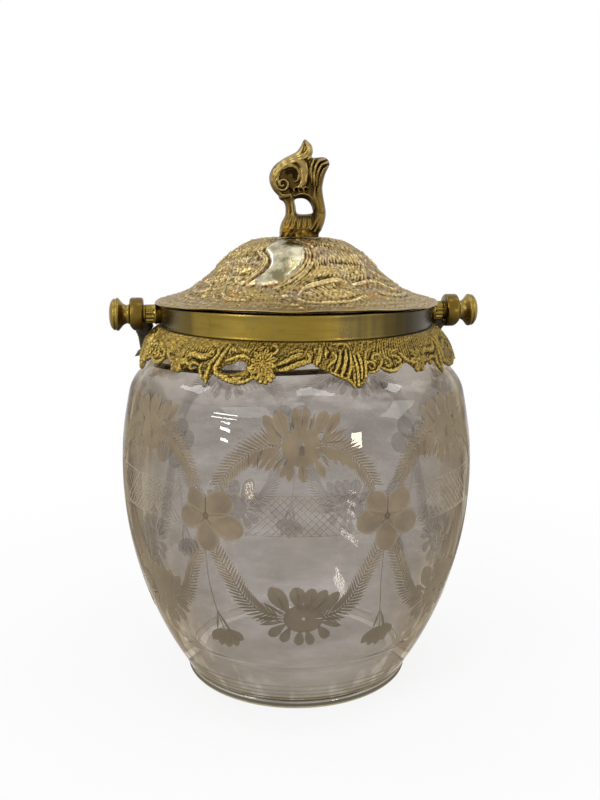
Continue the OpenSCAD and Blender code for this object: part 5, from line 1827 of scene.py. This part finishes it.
def bail_edges():
    """Inner and outer edge of the bail, laid flat: across, and away from the pivots."""
    turn = np.radians(np.linspace(0, 90, 40))

    def edge(eye, shifts, arm, crown):
        """One edge: past the eye by the shifts, up the arm, and over to its mirror image."""
        points = [(eye + shift, reach) for shift, reach in zip(shifts, (3.0, 7.0, 11.5, 16.5, 23.0))]
        half = curve_through(points + [(arm, LEAF_LEN), (arm, ARM_LEN)], 8)[:-1]
        x = arm * np.abs(np.cos(turn)) ** ARCH_POWER
        arch = np.stack([x, ARM_LEN + (crown - ARM_LEN) * np.sin(turn) ** ARCH_POWER], 1)
        half = np.vstack([half, arch])
        return np.vstack([half, (half * (-1, 1))[-2::-1]])

    return (edge(EYE_IN, (0.3, -1.6, -3.2, -2.8, -1.0), ARM_MID - ARM_W / 2, ARCH_OUT - ARCH_W),
            edge(EYE_OUT, (-0.5, -0.4, -0.6, -0.9, -1.6), ARM_MID + ARM_W / 2, ARCH_OUT))


def laid_out(across, reach, rise):
    """Points of the folded bail from places on the bail laid flat."""
    y = reach * math.cos(FOLD) + rise * math.sin(FOLD)
    z = PIVOT_Z - reach * math.sin(FOLD) + rise * math.cos(FOLD)
    return np.stack(np.broadcast_arrays(across, y, z), 2).reshape(-1, 3)


def leaf_spike(side):
    """Small pointed leaf on the outside of an arm."""
    centre = curve_through([(67.2, 44.0), (68.6, 48.5), (69.9, 52.2), (71.7, 55.4)], 5)
    half = np.interp(np.linspace(0, 1, len(centre)), [0, 0.35, 0.75, 1], [0.5, 1.5, 0.9, 0.06])
    turn = 2 * np.pi * np.arange(12) / 12
    across = side * (centre[:, :1] + half[:, None] * np.cos(turn))
    rise = 0.75 * half[:, None] * np.sin(turn)
    rows, count = across.shape
    spike = mesh_object("spike", laid_out(across, centre[:, 1:], rise), tube_faces(rows, count))
    set_attribute(spike, "relief", np.full(rows * count, 0.6))
    face_outwards(spike)
    return spike


def make_bail(turning, material):
    """Rounded band with a leaf below each eye; the eyes are turned rings on the pivots' axis."""
    inner, outer = bail_edges()
    middle, across = (inner + outer) / 2, (outer - inner) / 2
    count = 24
    turn = 2 * np.pi * np.arange(count) / count
    u = np.sign(np.cos(turn)) * np.abs(np.cos(turn)) ** 0.7
    v = np.sign(np.sin(turn)) * np.abs(np.sin(turn)) ** 0.7
    reach = middle[:, 1]
    leaf = np.clip((LEAF_LEN + 1 - reach) / 5, 0, 1)
    lobes = 1 + leaf * 0.07 * np.sin(reach * 1.9)
    leaf = leaf[:, None]
    midrib = 0.22 * leaf * np.exp(-((u / 0.28) ** 2))
    veins = 0.1 * leaf * np.cos(reach[:, None] * 3.3 - 2.5 * np.abs(u)[None, :]) * (np.abs(v) > 0.5)
    groove = 1 - midrib - veins
    flat = middle[:, None, :] + across[:, None, :] * u[None, :, None] * lobes[:, None, None]
    rise = (BAIL_THK / 2 - 0.05) * v[None, :] * groove
    band_points = laid_out(flat[:, :, 0], flat[:, :, 1], rise)
    band = mesh_object("band", band_points, tube_faces(len(middle), count))
    set_attribute(band, "relief", (0.55 - 0.5 * leaf * (1 - groove) / 0.3).ravel())
    face_outwards(band)
    parts = [band]
    bore, r = SHANK_R + 0.05, EYE_R
    profile = [(bore, EYE_IN), (r - 2.2, EYE_IN), (r - 0.65, EYE_IN + 0.05), (r - 0.2, EYE_IN + 0.4),
               (r, EYE_IN + 0.9), (r, EYE_OUT - 0.9), (r - 0.2, EYE_OUT - 0.4), (r - 0.65, EYE_OUT - 0.05),
               (r - 1.6, EYE_OUT), (r - 1.9, EYE_OUT - 0.12), (r - 2.2, EYE_OUT), (bore, EYE_OUT),
               (bore, EYE_IN)]
    for side in (1, -1):
        eye = placed(turned("eye", profile, turning, 96), pivot_matrix(side))
        # The outer face of an eye draws in below and behind, where its arm begins
        for v in eye.data.vertices:
            low = 0.5 * v.co.y / MM - 0.866 * (v.co.z / MM - PIVOT_Z) - 1.0
            if abs(v.co.x) > (EYE_OUT - 1.5) * MM:
                v.co.x -= side * 0.3 * max(0, low) * MM
        set_attribute(eye, "relief", np.full(len(eye.data.vertices), 0.55))
        parts += [eye, leaf_spike(side)]
    bail = joined("bail_band", parts)
    return dressed(bail, material, "bail", "bail_brass", "bail_handle")


# ---------------------------------------------------------------- the jar
bpy.context.scene.view_settings.view_transform = "Standard"
add_camera()
add_world(0.6)
add_floor()
add_lamps()

tarnish = tarnish_tree()
turning = turning_tree()
# Each finish's under value sets the painted shade on the faces that look down.
collar_finish = brass("collar_brass_aged", tarnish, (0.25, 0.17, 0.03), (0.05, 0.035, 0.015),
                      (0.38, 0.29, 0.08), 60.0, 700.0, 0.6, 0.3, stain=(0.20, 0.15, 0.035), stained=0.7)
paint_collar_reflections(collar_finish)
pivot_finish = brass("pivot_brass_aged", tarnish, (0.26, 0.18, 0.04), (0.03, 0.02, 0.008),
                     (0.50, 0.39, 0.14), 120.0, 900.0, 0.7, 0.3, under=0.85)
bail_finish = brass("bail_brass_aged", tarnish, (0.14, 0.088, 0.016), (0.02, 0.013, 0.005),
                    (0.45, 0.34, 0.11), 120.0, 900.0, 0.7, 0.3, relief=True, under=0.85)
skirt_finish = brass("skirt_brass_aged", tarnish, (0.265, 0.175, 0.036), (0.028, 0.017, 0.005),
                     (0.52, 0.385, 0.105), 140.0, 1100.0, 0.9, 0.38, bump=0.00005, relief=True,
                     stain=(0.18, 0.135, 0.04), stained=0.6)
painted_over(skirt_finish, painted_shade_right, (0.10, 0.07, 0.025))
lid_finish = brass("lid_gilt_worn", tarnish, (0.36, 0.26, 0.095), (0.045, 0.027, 0.009),
                   (0.66, 0.52, 0.26), 90.0, 1000.0, 0.9, 0.32, bump=0.00004, relief=True,
                   stain=(0.28, 0.22, 0.155), stained=0.6, under=0.0)
painted_over(lid_finish, orange_patches, (0.36, 0.20, 0.065))
polish_drop(lid_finish)
finial_finish = brass("finial_gilt_worn", tarnish, (0.13, 0.083, 0.02), (0.018, 0.01, 0.004),
                      (0.42, 0.31, 0.11), 60.0, 3000.0, 0.9, 0.31, bump=0.000005, relief=True, under=0.8)
gild_foot(finial_finish)
plain_finish = brass("plain_brass", tarnish, (0.55, 0.42, 0.16), (0.12, 0.08, 0.03), (0.8, 0.68, 0.35),
                     80.0, 900.0, 0.5, 0.3)
# Dark brass for the ring in the gap under the lid's brim: painted shade.
seat_painted_shade = brass("seat_brass_dark", tarnish, (0.07, 0.05, 0.02), (0.02, 0.013, 0.006), (0.12, 0.09, 0.035),
                    80.0, 900.0, 0.6, 0.45)
frost = frosted_glass("frosted_engraving", 0.9, 0.36, (0.18, 0.13, 0.072), (0.285, 0.21, 0.122),
                      (0.13, 0.092, 0.05))
# The fine cut lines turn pale where the jar turns away: painted glints.
fine_cut = frosted_glass("fine_cut_lines", 0.8, 0.15, (0.13, 0.095, 0.055), (0.32, 0.27, 0.19),
                         (0.13, 0.095, 0.055), (0.90, 0.80, 0.60))
deep_cut = frosted_glass("deep_cut_lines", 0.95, 0.3, (0.09, 0.062, 0.038), (0.15, 0.11, 0.07),
                         (0.1, 0.07, 0.045))
barrel = make_barrel(turning, clear_glass())
make_engraving(barrel, frost, fine_cut, deep_cut)
make_collar(turning, collar_finish)
make_skirt(skirt_finish)
for side in (1, -1):
    make_boss(side, turning, pivot_finish)
    make_knob(side, turning, pivot_finish)
make_bail(turning, bail_finish)
make_lid(lid_finish)
make_finial(finial_finish)
# The solids that show as they are
finish_of = {"finial_stud": plain_finish, "finial_washer": plain_finish, "finial_nut": plain_finish,
             "lid_seat_ring": seat_painted_shade, "washer_left": pivot_finish, "washer_right": pivot_finish,
             "neck_plaster": plaster()}
for name, finish in finish_of.items():
    for slot in frame["nodes"][name].material_slots:
        slot.material = finish
